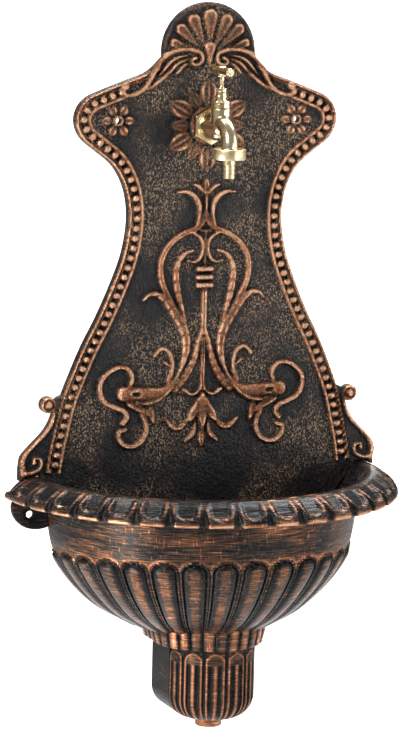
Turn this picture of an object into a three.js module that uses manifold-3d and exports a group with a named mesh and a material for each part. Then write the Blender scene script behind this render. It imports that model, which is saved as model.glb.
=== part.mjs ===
// Wall fountain in millimetres: a relief back plate, a half-bowl basin with a gadrooned body,
// a fluted drain cover and a brass tap. +X is right, +Y goes into the wall and +Z is up.
// The origin is on the wall plane behind the back plate, on its centre line.
import * as THREE from 'three';
import { mergeVertices } from 'three/addons/utils/BufferGeometryUtils.js';
import Module from 'manifold-3d';

const wasm = await Module();
wasm.setup();

// Places are given as drops below the top of the shell crest.
const PLATE_TOP = 300;
const PLATE_HEIGHT = 454;
const GAP = 0.3;
const SIDES = [1, -1];

// Back plate. Its outline and carving are drawn on a plate of 454 units.
const UNIT = PLATE_HEIGHT / 454;
const FIELD_THICKNESS = 6.5;
const SHELL_RADIUS = 47.5 * UNIT;
const EDGE_POINTS = [
  [46, 51], [62, 66], [86, 75.5], [109, 84.2], [123, 90.4], [131.5, 99], [135.2, 110], [134, 120],
  [128, 130.5], [111.8, 143.5], [97, 155.5], [87.5, 170], [81.8, 187], [80, 210], [84.8, 241],
  [95, 269.5], [109, 301], [124, 330], [136, 357.5], [144.7, 380], [151, 405], [157, 432], [160, 452],
];
const BORDER_RIDGE_INSET = 2.9;
const BORDER_RIDGE_HALF_WIDTH = 2.4;
const BORDER_RIDGE_HEIGHT = 3;
const BEAD_INSET = 8;
const BEAD_RADIUS = 3.3;
const BEAD_PITCH = 8.9;
const BEAD_HEIGHT = 2.8;
const INNER_RIDGE_INSET = 13.7;
const INNER_RIDGE_HALF_WIDTH = 1.7;
const INNER_RIDGE_HEIGHT = 2;
const RELIEF_SINK = 0.6;
const ROSETTE_X = 92 * UNIT;
const ROSETTE_DROP = 113 * UNIT;
const ROSETTE_RADIUS = 14.5;
const SCREW_HOLE_RADIUS = 3;

// Basin
const BASIN_HALF_WIDTH = 198;
const BASIN_DEPTH = 194;
const BASIN_WALL = 5;
const BASIN_BACK_THICKNESS = 3.2;
const RIM_CREST_DROP = PLATE_HEIGHT;
const RIM_HEIGHT = 24;
const RIM_MOUTH_INSET = 32;
const RIM_TONGUES = 19;
const RIM_TONGUE_DEPTH = 4;
const RIM_DART_DEPTH = 4.5;
const BODY_HALF_WIDTH = BASIN_HALF_WIDTH - 40.5;
const BODY_DEPTH = BASIN_DEPTH - 30.5;
const BODY_TOP_DROP = RIM_CREST_DROP + RIM_HEIGHT;
const BODY_HEIGHT = 133;
const BODY_FOOT_DROP = BODY_TOP_DROP + BODY_HEIGHT;
const GADROONS = 16;
const GADROON_HEIGHT = 3.6;
const GADROON_GROOVE = 0.35;
const GADROON_TOP_DROP = BODY_TOP_DROP + 49;
const GADROON_TOP_RISE = 12;
const GADROON_ARCH = 9;
const BODY_WALL = BASIN_WALL + GADROON_GROOVE * GADROON_HEIGHT;
const BACK_WALL_LAP = 20;
const PLATE_LAP_GAP = 4;
const PLATE_TONGUE_CLEARANCE = 1.5;
const COLLAR_HALF_WIDTH = 54;
const COLLAR_STRAIGHT = 33;
const COLLAR_LAP = 12;
const COLLAR_HEIGHT = 19.5;
const COLLAR_TOP_DROP = BODY_FOOT_DROP - COLLAR_LAP;
const COLLAR_FOOT_DROP = COLLAR_TOP_DROP + COLLAR_HEIGHT;
const COLLAR_RIBS = 20;
const COLLAR_RIB_HEIGHT = 1.6;
const COLLAR_WALL = 6;
const DRAIN_RADIUS = 12;
const DRAIN_OFF_WALL = 45;
const EAR_X = BODY_HALF_WIDTH + 16;
const EAR_DROP = BODY_TOP_DROP + 13.5;
const EAR_THICKNESS = 5;
const EAR_HOLE_RADIUS = 3.5;

// Drain cover
const COVER_HALF_WIDTH = 43;
const COVER_STRAIGHT = 47;
const COVER_WALL = 4;
const COVER_HEIGHT = 79.2;
const COVER_ROUND = 22;
const COVER_FLUTES = 24;
const COVER_FLUTE_DEPTH = 1.8;
const COVER_ARCH_BAND = 13;
const COVER_FLUTE_RISE = 3;
const OUTLET_RADIUS = 13;
const OUTLET_BORE_RADIUS = 8;
const OUTLET_HEIGHT = 3.5;

// Tap
const TAP_DROP = 118;
const TAP_HOLE_RADIUS = 11;
const TAP_TAIL_CLEARANCE = 0.7;
const TAP_SEAT_HEIGHT = 3;
const TAP_SEAT_RADIUS = 19;
const HEX_ACROSS_FLATS = 32.5;
const HEX_THICKNESS = 8;
const STEM_OFF_WALL = 40;
const SPOUT_OFF_WALL = 64;
const BARREL_RADIUS = 13.5;
const BARREL_TAPER = 2.5;
const CHAMBER_RADIUS = 9.8;
const CHAMBER_HEIGHT = 19;
const BONNET_FLANGE_RADIUS = 9.4;
const BONNET_FLANGE_THICKNESS = 6.5;
const BONNET_NECK_RADIUS = 5.2;
const BONNET_NECK_LENGTH = 8.5;
const GLAND_RADIUS = 6;
const GLAND_LENGTH = 3.5;
const SPINDLE_RADIUS = 2.4;
const SPINDLE_FOOT = 6;
const SPINDLE_SHOWN = 10.7;
const HANDLE_BAR_RADIUS = 4;
const HANDLE_HALF_LENGTH = 22;
const HANDLE_HUB_RADIUS = 4.6;
const HANDLE_HUB_HEIGHT = 10.1;
const SPOUT_RADIUS = 8;
const SPOUT_END_RADIUS = 12.3;
const SPOUT_END_LENGTH = 6;
const SPOUT_FALL = 24;
const NUT_RADIUS = 15.8;
const NUT_HEIGHT = 10.3;
const HOSE_TAIL_RADIUS = 6.1;
const HOSE_TAIL_BORE_RADIUS = 4.4;
const HOSE_TAIL_LENGTH = 18;
const HOSE_TAIL_FLANGE = 2;
const WATER_BORE_RADIUS = 5;

// Reach of a cutting shape past what it cuts
const PAST = 1;
const FAR = 500;

// The plate's tongue hangs in the basin, lapping the basin's back wall
const BACK_WALL_DROP = BODY_TOP_DROP - 8;
const REBATE_DROP = BACK_WALL_DROP - PLATE_LAP_GAP;
const PLATE_FOOT_DROP = BACK_WALL_DROP + BACK_WALL_LAP;

const castMetal = { color: 0x2b211c, roughness: 0.5, metalness: 0.6 };
const brass = { color: 0xc9a75c, roughness: 0.25, metalness: 1 };

// Turns a closed three.js geometry into a solid with its faces pointing out.
function toSolid(geometry) {
  const bare = geometry.clone();
  bare.deleteAttribute('normal');
  bare.deleteAttribute('uv');
  const merged = mergeVertices(bare, 1e-4);
  const position = merged.attributes.position.array;
  const triangles = [];
  let volume = 0;
  for (let i = 0; i < merged.index.count; i += 3) {
    const [a, b, c] = [0, 1, 2].map((k) => merged.index.getX(i + k));
    if (a === b || b === c || c === a) continue;
    triangles.push(a, b, c);
    const corner = (n) => new THREE.Vector3().fromArray(position, 3 * n);
    volume += corner(a).dot(corner(b).cross(corner(c)));
  }
  if (volume < 0) {
    for (let i = 0; i < triangles.length; i += 3) {
      [triangles[i], triangles[i + 1]] = [triangles[i + 1], triangles[i]];
    }
  }
  return new wasm.Manifold(new wasm.Mesh({
    numProp: 3,
    vertProperties: new Float32Array(position),
    triVerts: new Uint32Array(triangles),
  }));
}

function toMesh(name, solid, look) {
  const { vertProperties, triVerts } = solid.getMesh();
  const geometry = new THREE.BufferGeometry();
  geometry.setAttribute('position', new THREE.BufferAttribute(new Float32Array(vertProperties), 3));
  geometry.setIndex(new THREE.BufferAttribute(new Uint32Array(triVerts), 1));
  geometry.computeVertexNormals();
  const mesh = new THREE.Mesh(geometry, new THREE.MeshStandardMaterial({ ...look, flatShading: true }));
  mesh.name = name;
  return mesh;
}

function joinAll(solids) {
  return solids.reduce((whole, piece) => whole.add(piece));
}

// A point of the plate's face: x across, drop below the top of the shell.
function facePoint([x, drop], side = 1) {
  return new THREE.Vector3(side * x, 0, PLATE_TOP - drop);
}

function faceCurve(points, side = 1, unit = UNIT) {
  return new THREE.CatmullRomCurve3(points.map(([x, d]) => facePoint([x * unit, d * unit], side)));
}

// A plate of the given outline between two distances off the wall.
function prism(outline, near, far) {
  const shape = new THREE.Shape(outline.map(([x, drop]) => new THREE.Vector2(x, PLATE_TOP - drop)));
  const geometry = new THREE.ExtrudeGeometry(shape, { depth: far - near, bevelEnabled: false });
  geometry.rotateX(Math.PI / 2);
  geometry.translate(0, -near, 0);
  return toSolid(geometry);
}

function box(x, offWallNear, offWallFar, topDrop, footDrop) {
  const geometry = new THREE.BoxGeometry(2 * x, offWallFar - offWallNear, footDrop - topDrop);
  geometry.translate(0, -(offWallNear + offWallFar) / 2, PLATE_TOP - (topDrop + footDrop) / 2);
  return toSolid(geometry);
}

// A cylinder or frustum with its axis square to the wall.
function stud(point, near, far, radius, sides, farRadius = radius) {
  const geometry = new THREE.CylinderGeometry(radius, farRadius, far - near, sides);
  const centre = facePoint(point);
  geometry.translate(centre.x, -(near + far) / 2, centre.z);
  return toSolid(geometry);
}

// A rounded ridge along a curve on the plate's face. Width and height follow the length.
function ridge(curve, segments, halfWidth, height, sides = 6) {
  const section = new THREE.CylinderGeometry(1, 1, 1, sides, segments, false, Math.PI / sides);
  if (sides === 4) section.rotateY(-Math.PI / sides);
  const position = section.attributes.position;
  for (let i = 0; i < position.count; i += 1) {
    const along = position.getY(i) + 0.5;
    const centre = curve.getPointAt(along);
    const tangent = curve.getTangentAt(along);
    const across = position.getX(i) * halfWidth(along);
    const out = position.getZ(i) * height(along) + FIELD_THICKNESS;
    position.setXYZ(i, centre.x + tangent.z * across, -out, centre.z - tangent.x * across);
  }
  return toSolid(section);
}

// Widths: even, swelling between two thin ends, and growing to a blunt end.
const even = (size) => () => size;
const leaf = (size, tip = 0.4) => (t) => tip + (size - tip) * Math.sin(Math.PI * t) ** 0.8;
const grow = (start, end) => (t) => start + (end - start) * t;
const pear = (size, tip = 0.8) => (t) => tip + (size - tip) * Math.sin(Math.PI * t ** 1.7) ** 0.7;

function insetCurve(curve, inset, from, to, steps, side) {
  const points = [];
  for (let i = 0; i <= steps; i += 1) {
    const t = from + ((to - from) * i) / steps;
    const centre = curve.getPointAt(t);
    const tangent = curve.getTangentAt(t);
    centre.x += side * inset * tangent.z;
    centre.z -= side * inset * tangent.x;
    points.push(centre);
  }
  return new THREE.CatmullRomCurve3(points);
}

function plateOutline() {
  const edge = faceCurve(EDGE_POINTS).getSpacedPoints(28).map((p) => [p.x, PLATE_TOP - p.z]);
  const inner = BODY_HALF_WIDTH - BODY_WALL - PLATE_TONGUE_CLEARANCE;
  const foot = [
    [inner + 8.5, RIM_CREST_DROP + 2], [inner, BODY_TOP_DROP - 1], [inner - 6, PLATE_FOOT_DROP],
  ];
  const half = [...edge, ...foot];
  return [...half, ...half.map(([x, d]) => [-x, d]).reverse()];
}

function shellOutline() {
  const points = [];
  const steps = 20;
  for (let i = 0; i < steps; i += 1) {
    const angle = (2 * Math.PI * i) / steps;
    points.push([SHELL_RADIUS * Math.sin(angle), SHELL_RADIUS * (1 - Math.cos(angle))]);
  }
  return points;
}

function border(side) {
  const pieces = [];
  const edge = faceCurve(EDGE_POINTS, side);
  const length = edge.getLength();
  const outer = insetCurve(edge, BORDER_RIDGE_INSET, 0.02, 0.997, 60, side);
  pieces.push(ridge(outer, 26, even(BORDER_RIDGE_HALF_WIDTH), even(BORDER_RIDGE_HEIGHT), 4));
  const inner = insetCurve(edge, INNER_RIDGE_INSET, 0.03, 0.997, 60, side);
  pieces.push(ridge(inner, 20, even(INNER_RIDGE_HALF_WIDTH), even(INNER_RIDGE_HEIGHT), 4));
  const first = 0.11;
  const count = Math.floor((length * (0.995 - first)) / BEAD_PITCH);
  const beads = insetCurve(edge, BEAD_INSET, first, 0.99, 60, side);
  for (let i = 0; i < count; i += 1) {
    const centre = beads.getPointAt((i + 0.5) / count);
    const place = [centre.x, PLATE_TOP - centre.z];
    const top = FIELD_THICKNESS + BEAD_HEIGHT;
    pieces.push(stud(place, FIELD_THICKNESS - RELIEF_SINK, top, BEAD_RADIUS, 4, 0));
  }
  return pieces;
}

function shellCrest() {
  const pieces = [];
  const hub = [0, 54];
  const ribs = [[0, 5, 6.6], [19, 11.5, 6.2], [32.5, 21, 5.4], [40, 36.5, 4.6]];
  for (const side of SIDES) {
    for (const [x, d, width] of ribs) {
      if (x === 0 && side < 0) continue;
      const start = [x * 0.35, hub[1] + (d - hub[1]) * 0.35];
      const path = faceCurve([start, [(start[0] + x) / 2, (start[1] + d) / 2], [x, d]], side);
      pieces.push(ridge(path, 3, pear(width), grow(2.5, 4.5)));
    }
    const arc = [[4, 2.4], [20, 6.6], [34, 17], [43, 33], [45, 47]];
    pieces.push(ridge(faceCurve(arc, side), 6, even(1.9), even(3), 4));
  }
  pieces.push(ridge(faceCurve([[0, 61], [0, 50], [0, 35]]), 3, pear(6.2), grow(2, 5)));
  return pieces;
}

function crestScrolls(side) {
  const scroll = [
    [15, 53.5], [19, 57], [14, 60], [8, 56], [8.4, 50], [15.5, 46], [26, 45], [38, 47.4], [48.5, 54],
    [56, 65], [63, 78], [72, 86.5], [81.5, 89], [87, 85.5], [86, 79.5],
  ];
  const pieces = [ridge(faceCurve(scroll, side), 17, leaf(3, 1.3), even(4.2), 4)];
  const ball = [side * 86 * UNIT, 80.5 * UNIT];
  pieces.push(stud(ball, FIELD_THICKNESS - RELIEF_SINK, FIELD_THICKNESS + 5, 4.6, 6, 2.4));
  const strands = [
    [[21, 49.5], [36, 54], [50, 67.5]],
    [[22, 53], [33, 58], [41.5, 67]],
    [[22.5, 57], [28, 61], [32.5, 67]],
  ];
  for (const strand of strands) {
    pieces.push(ridge(faceCurve(strand, side), 3, leaf(2.1), leaf(3, 1), 4));
  }
  return pieces;
}

function petals(centre, count, radius, inner, width, height, turn, steps) {
  const pieces = [];
  for (let i = 0; i < count; i += 1) {
    const angle = turn + (2 * Math.PI * i) / count;
    const spoke = (r) => [centre[0] + r * Math.sin(angle), centre[1] - r * Math.cos(angle)];
    const path = faceCurve([spoke(inner), spoke((inner + radius) / 2), spoke(radius)], 1, 1);
    pieces.push(ridge(path, steps, leaf(width), leaf(height, 1), 4));
  }
  return pieces;
}

function sunflower() {
  const centre = [0, TAP_DROP];
  const seat = FIELD_THICKNESS + TAP_SEAT_HEIGHT;
  return [
    ...petals(centre, 6, 43.5, TAP_SEAT_RADIUS - 1.5, 8, 4.5, 0, 3),
    ...petals(centre, 6, 36.5, TAP_SEAT_RADIUS - 1.5, 5.4, 3.6, Math.PI / 6, 3),
    stud(centre, FIELD_THICKNESS - RELIEF_SINK, seat, TAP_SEAT_RADIUS, 16),
  ];
}

function rosette(side) {
  const centre = [side * ROSETTE_X, ROSETTE_DROP];
  return [
    ...petals(centre, 6, ROSETTE_RADIUS, 4, 3.6, 3, Math.PI / 6, 2),
    stud(centre, FIELD_THICKNESS - RELIEF_SINK, FIELD_THICKNESS + 3, 5.4, 8, 4.6),
  ];
}

function volute(side) {
  const scroll = [
    [158, 452.4], [140, 440], [143, 376], [150, 380], [154, 397], [161, 410], [176, 425.5], [184, 435],
    [186, 446],
  ];
  const foot = [[12, 4], [18, 0.8], [27, -1.6]];
  const panel = [
    ...scroll.map(([x, d]) => [x * UNIT, d * UNIT]),
    ...foot.map(([inset, d]) => [BASIN_HALF_WIDTH - inset, RIM_CREST_DROP + d]),
  ];
  const ball = [side * 157.5 * UNIT, 385 * UNIT];
  const stem = [
    [153.5, 391], [154.6, 401], [161, 411.5], [170.5, 420.8], [180, 430.5], [183.6, 440.5], [181.5, 451],
  ];
  const curl = [[180, 450], [172, 449.5], [164.5, 445], [165, 437.5], [171, 436.5], [171.5, 441]];
  return [
    prism(panel.map(([x, d]) => [side * x, d]), 0, FIELD_THICKNESS),
    ridge(faceCurve(stem, side), 6, even(3.2), even(4.2), 4),
    ridge(faceCurve(curl, side), 6, grow(2.6, 1.6), grow(4, 3), 4),
    stud(ball, 0, FIELD_THICKNESS, 8, 10),
    stud(ball, FIELD_THICKNESS - RELIEF_SINK, FIELD_THICKNESS + 4.5, 7.6, 8, 3.6),
  ];
}

// The scrolls, leaves and one of the paired dolphins in the middle of the plate.
function arabesque(side) {
  const carve = (points, segments, width, height, sides = 4) => (
    ridge(faceCurve(points, side), segments, width, height, sides));
  return [
    carve([[14.5, 174.6], [7.5, 177.5], [1.6, 184.5]], 2, leaf(2.8, 0.8), even(3)),
    carve([[32, 181.6], [20, 181.4], [10, 189.8], [3.6, 202]], 4, leaf(3.6, 0.8), even(3.6)),
    carve([[1.5, 204], [9, 215], [22.8, 223], [35.5, 231], [43.3, 242], [45.8, 254], [43.5, 267],
      [38.5, 280]], 9, leaf(3.6, 1.5), even(4)),
    carve([[16, 221], [7.4, 225], [2.9, 231], [2.6, 238.5], [5, 245.8], [10.5, 250], [18.2, 249]], 7,
      leaf(2.5, 1.2), even(3.4)),
    carve([[13, 239], [20.4, 241.6], [26.4, 248], [29.6, 257], [29.4, 268], [27, 280], [23.5, 290]], 6,
      leaf(3, 1), even(3.4)),
    carve([[63.7, 287.5], [57.5, 281.5], [50, 280.5], [42, 285], [34.5, 293.7], [27.5, 304], [21.3, 315],
      [17.9, 328], [18.4, 340], [22, 352.7], [28, 364]], 10, leaf(4.6, 0.6), even(4.6)),
    carve([[1.5, 318], [4.4, 326], [6.8, 336], [10.4, 347], [15.7, 358], [22.6, 367.7], [31, 377]], 5,
      grow(2.6, 3.2), even(3.6)),
    carve([[1, 371], [5, 378], [11.8, 380.2], [19.1, 375.4]], 3, grow(1.7, 2.6), even(3.2)),
    carve([[26, 362], [33, 371], [43, 378], [56, 380.5], [72, 379.5], [90, 378.6]], 7, leaf(8.6, 1),
      leaf(6, 1.5), 6),
    carve([[76, 372], [73, 361], [78, 352.8], [86, 350.8], [96.4, 355], [104.5, 364], [105.4, 375],
      [100.4, 384.5], [90, 390], [81, 394], [77.8, 400], [81.5, 405.5]], 13, grow(2.6, 3.2), even(4)),
    carve([[70, 385], [74.5, 388], [79, 384.5]], 2, leaf(2.8), even(3.6)),
    carve([[66, 384], [63.5, 392], [59, 399.5]], 2, leaf(3.6), even(3.8)),
    carve([[54, 384], [53.5, 396], [49.2, 408]], 3, leaf(4.2), even(4)),
    carve([[61.4, 398], [57.8, 407], [57.6, 415.5], [62, 423.8], [70.5, 428.6], [79, 427.6], [85.3, 421],
      [85.2, 414.6], [79.5, 412]], 10, grow(3.4, 2.8), even(3.8)),
    carve([[36, 367], [32.4, 358], [31.8, 348.5], [35, 338.4], [42.6, 334], [50.4, 340.6]], 7,
      grow(3.2, 2), even(3.6)),
    carve([[43.4, 345.5], [38.5, 348.5], [33, 353]], 2, leaf(1.8), even(3)),
    carve([[11, 403], [20.7, 410.9], [27.8, 412.4], [37.7, 404.4]], 4, leaf(3.6, 1.2), even(3.4)),
    carve([[1.5, 412], [8.5, 421], [16.8, 428.5]], 3, leaf(2.8), even(3)),
    carve([[7.5, 403], [9, 408], [9.5, 413]], 2, leaf(3), even(4)),
  ];
}

function candelabra() {
  const upright = (from, to, segments, width, height, sides) => (
    ridge(faceCurve([[0, from], [0, (from + to) / 2], [0, to]]), segments, width, height, sides));
  const bars = [257.5, 265.2, 273].map((d) => (
    ridge(faceCurve([[-9.6, d], [0, d], [9.6, d]]), 1, even(2.9), even(4.6))));
  return [
    upright(168.5, 184, 3, leaf(3.4), even(3.6), 4),
    upright(182, 206, 2, even(2), even(3.4), 4),
    ridge(faceCurve([[-7.4, 218.8], [0, 219.2], [7.4, 218.8]]), 2, even(2.4), even(4)),
    ...bars,
    upright(275, 319, 1, even(3.4), even(4)),
    upright(326, 375, 1, even(2.4), even(3.2)),
    upright(381, 410, 4, grow(3, 11), leaf(6, 2.5)),
    upright(404, 415, 2, leaf(3.6), even(5), 4),
    upright(411, 432.5, 3, leaf(4.2), even(3.4), 4),
  ];
}

function backPlate() {
  const mirrored = SIDES.flatMap((side) => [
    ...border(side), ...crestScrolls(side), ...rosette(side), ...volute(side), ...arabesque(side),
  ]);
  const body = joinAll([
    prism(plateOutline(), 0, FIELD_THICKNESS),
    prism(shellOutline(), 0, FIELD_THICKNESS),
    ...shellCrest(), ...sunflower(), ...candelabra(), ...mirrored,
  ]);
  const cuts = [
    stud([0, TAP_DROP], -PAST, FAR, TAP_HOLE_RADIUS, 16),
    ...SIDES.map((side) => stud([side * ROSETTE_X, ROSETTE_DROP], -PAST, FAR, SCREW_HOLE_RADIUS, 8)),
    box(FAR, -PAST, BASIN_BACK_THICKNESS + GAP, REBATE_DROP, PLATE_FOOT_DROP + PAST),
    box(FAR, -FAR, 0, -PAST, PLATE_FOOT_DROP + PAST),
  ];
  return cuts.reduce((whole, cut) => whole.subtract(cut), body);
}

// The rim from its crest over the edge and back under it: insets from the edge at the side and
// at the front, and drops below the crest.
const RIM_PROFILE = [
  [27, 28, 0], [18, 20, 2.4], [8, 9.5, 8], [0, 0, 18], [2.5, 2.5, 21.5], [15, 15.5, 9.8], [24, 23.5, 9.5],
];
// The body as shares of its half width, its depth and its height.
const BODY_PROFILE = [
  [1, 1, 0], [0.966, 0.97, 0.271], [0.955, 0.9615, 0.323], [0.931, 0.942, 0.406], [0.876, 0.893, 0.519],
  [0.784, 0.811, 0.662], [0.648, 0.688, 0.82], [0.419, 0.489, 1],
];

function rimRings() {
  const rings = RIM_PROFILE.map(([side, front, fall]) => (
    [BASIN_HALF_WIDTH - side, BASIN_DEPTH - front, RIM_CREST_DROP + fall]));
  return [...rings, [BODY_HALF_WIDTH - 0.5, BODY_DEPTH - 0.5, BODY_TOP_DROP + 2]];
}

function bodyRings() {
  const height = BODY_FOOT_DROP - BODY_TOP_DROP;
  return BODY_PROFILE.map(([side, front, fall]) => (
    [side * BODY_HALF_WIDTH, front * BODY_DEPTH, BODY_TOP_DROP + fall * height]));
}

// The hollow: the mouth inside the rim, then the body's rings moved square to its wall.
function cavityRings() {
  const mouth = [BASIN_HALF_WIDTH - RIM_MOUTH_INSET, BASIN_DEPTH - RIM_MOUTH_INSET];
  const rings = bodyRings();
  const inner = rings.filter((ring, i) => i !== 2).map(([half, depth, d], i, kept) => {
    const before = kept[Math.max(0, i - 1)];
    const after = kept[Math.min(kept.length - 1, i + 1)];
    const run = before[0] - after[0];
    const fall = after[2] - before[2];
    const length = Math.hypot(run, fall);
    const inset = (BODY_WALL * fall) / length;
    return [half - inset, depth - inset, d - (BODY_WALL * run) / length];
  });
  return [[...mouth, RIM_CREST_DROP - PAST], [...mouth, RIM_CREST_DROP + 1.6], ...inner];
}

// A closed solid through elliptical rings. The push function moves each point outwards.
function ringSolid(rings, columns, push = () => 0) {
  const profile = [
    new THREE.Vector2(0, PLATE_TOP - rings[0][2]),
    ...rings.map(([half, , d]) => new THREE.Vector2(half, PLATE_TOP - d)),
    new THREE.Vector2(0, PLATE_TOP - rings[rings.length - 1][2]),
  ];
  const geometry = new THREE.LatheGeometry(profile, 2 * columns);
  const position = geometry.attributes.position;
  for (let i = 0; i < position.count; i += 1) {
    const row = i % profile.length;
    const turn = (Math.PI * Math.floor(i / profile.length)) / columns;
    const z = position.getY(i);
    if (row === 0 || row === profile.length - 1) {
      position.setXYZ(i, 0, 0, z);
      continue;
    }
    const [half, depth, d] = rings[row - 1];
    const out = push(turn, d, row - 1);
    position.setXYZ(i, (half + out) * Math.sin(turn), -(depth + out) * Math.cos(turn), z);
  }
  return toSolid(geometry);
}

// How far a gadroon stands out at a turn about the bowl and a drop.
function gadroonPush(turn, d) {
  const pitch = Math.PI / GADROONS;
  const across = 2 * (turn / pitch - Math.round(turn / pitch));
  const top = GADROON_TOP_DROP - GADROON_TOP_RISE * Math.max(0, Math.cos(turn));
  const arch = Math.min(1, Math.max(0, (d - top) / GADROON_ARCH));
  const width = Math.sqrt(1 - (1 - arch) ** 2);
  const inside = Math.max(0, 1 - (across / Math.max(width, 0.01)) ** 2);
  return arch > 0 ? GADROON_HEIGHT * (Math.sqrt(inside) - GADROON_GROOVE) : 0;
}

// The rim's hollow tongues between darts, on the slope from the crest to the edge.
function tonguePush(turn, d, ring) {
  const step = Math.round((4 * turn * RIM_TONGUES) / Math.PI) % 4;
  if (step === 0) return ring === 2 || ring === 3 ? -RIM_DART_DEPTH : 0;
  return step === 2 && (ring === 1 || ring === 2) ? -RIM_TONGUE_DEPTH : 0;
}

// The outline of the collar and of the drain cover: straight sides, then a half round.
function roundFront(halfWidth, straight, steps, push = () => 0) {
  const outline = [];
  const arc = Math.PI * halfWidth;
  const length = 2 * straight + arc;
  for (let i = 0; i <= steps; i += 1) {
    const run = (length * i) / steps;
    const out = push(i, run / length);
    if (run < straight) {
      outline.push([halfWidth + out, run]);
    } else if (run > straight + arc) {
      outline.push([-halfWidth - out, length - run]);
    } else {
      const angle = (run - straight) / halfWidth;
      outline.push([(halfWidth + out) * Math.cos(angle), straight + (halfWidth + out) * Math.sin(angle)]);
    }
  }
  return outline;
}

// A level slab of a plan outline, given as half width and distance off the wall.
function slab(outline, topDrop, footDrop) {
  const shape = new THREE.Shape(outline.map(([x, off]) => new THREE.Vector2(x, -off)));
  const geometry = new THREE.ExtrudeGeometry(shape, { depth: footDrop - topDrop, bevelEnabled: false });
  geometry.translate(0, 0, PLATE_TOP - footDrop);
  return toSolid(geometry);
}

function post(x, off, topDrop, footDrop, radius, sides, footRadius = radius) {
  const geometry = new THREE.CylinderGeometry(radius, footRadius, footDrop - topDrop, sides);
  geometry.rotateX(Math.PI / 2);
  geometry.translate(x, -off, PLATE_TOP - (topDrop + footDrop) / 2);
  return toSolid(geometry);
}

function basin() {
  const ribs = roundFront(COLLAR_HALF_WIDTH, COLLAR_STRAIGHT, 2 * COLLAR_RIBS, (i) => (
    i % 2 === 0 ? -COLLAR_RIB_HEIGHT : 0));
  const core = roundFront(COLLAR_HALF_WIDTH - COLLAR_WALL, COLLAR_STRAIGHT, 24)
    .map(([x, off]) => [x, Math.max(off, COLLAR_WALL)]);
  const ear = [
    [-25.5, -14], [16.5, -12], [16.5, -5], [3, 12], [-8, 13], [-25.5, 11],
  ];
  const outside = joinAll([
    ringSolid(rimRings(), 4 * RIM_TONGUES, tonguePush),
    ringSolid(bodyRings(), 4 * GADROONS, gadroonPush),
    slab(ribs, COLLAR_TOP_DROP, COLLAR_FOOT_DROP),
  ]);
  const half = outside.intersect(box(FAR, 0, FAR, 0, 2 * FAR));
  const eared = SIDES.reduce((whole, side) => (
    whole.add(prism(ear.map(([x, d]) => [side * (EAR_X + x), EAR_DROP + d]), 0, EAR_THICKNESS))), half);
  const cavity = ringSolid(cavityRings(), 20);
  const cuts = [
    cavity.intersect(box(FAR, BASIN_BACK_THICKNESS, FAR, 0, 2 * FAR)),
    cavity.intersect(box(FAR, -PAST, FAR, 0, BACK_WALL_DROP)),
    slab(core, BODY_FOOT_DROP, COLLAR_FOOT_DROP + PAST),
    post(0, DRAIN_OFF_WALL, BODY_TOP_DROP, COLLAR_FOOT_DROP, DRAIN_RADIUS, 16),
    ...SIDES.map((side) => stud([side * EAR_X, EAR_DROP], -PAST, FAR, EAR_HOLE_RADIUS, 8)),
  ];
  return cuts.reduce((whole, cut) => whole.subtract(cut), eared);
}

// A solid through outlines at several drops. Each level is a drop with the outline's own values.
function loft(levels, count, outlineAt, heart) {
  const geometry = new THREE.CylinderGeometry(1, 1, 1, count, levels.length - 1);
  const position = geometry.attributes.position;
  const outlines = levels.map(outlineAt);
  for (let i = 0; i < position.count; i += 1) {
    const [x, y, z] = [position.getX(i), position.getY(i), position.getZ(i)];
    const level = Math.round((0.5 - y) * (levels.length - 1));
    const share = (Math.atan2(x, z) / (2 * Math.PI) + 1) % 1;
    const around = Math.round(share * count) % count;
    const [px, off] = Math.hypot(x, z) < 0.5 ? heart : outlines[level][around];
    position.setXYZ(i, px, -off, PLATE_TOP - levels[level].drop);
  }
  return toSolid(geometry);
}

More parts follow.
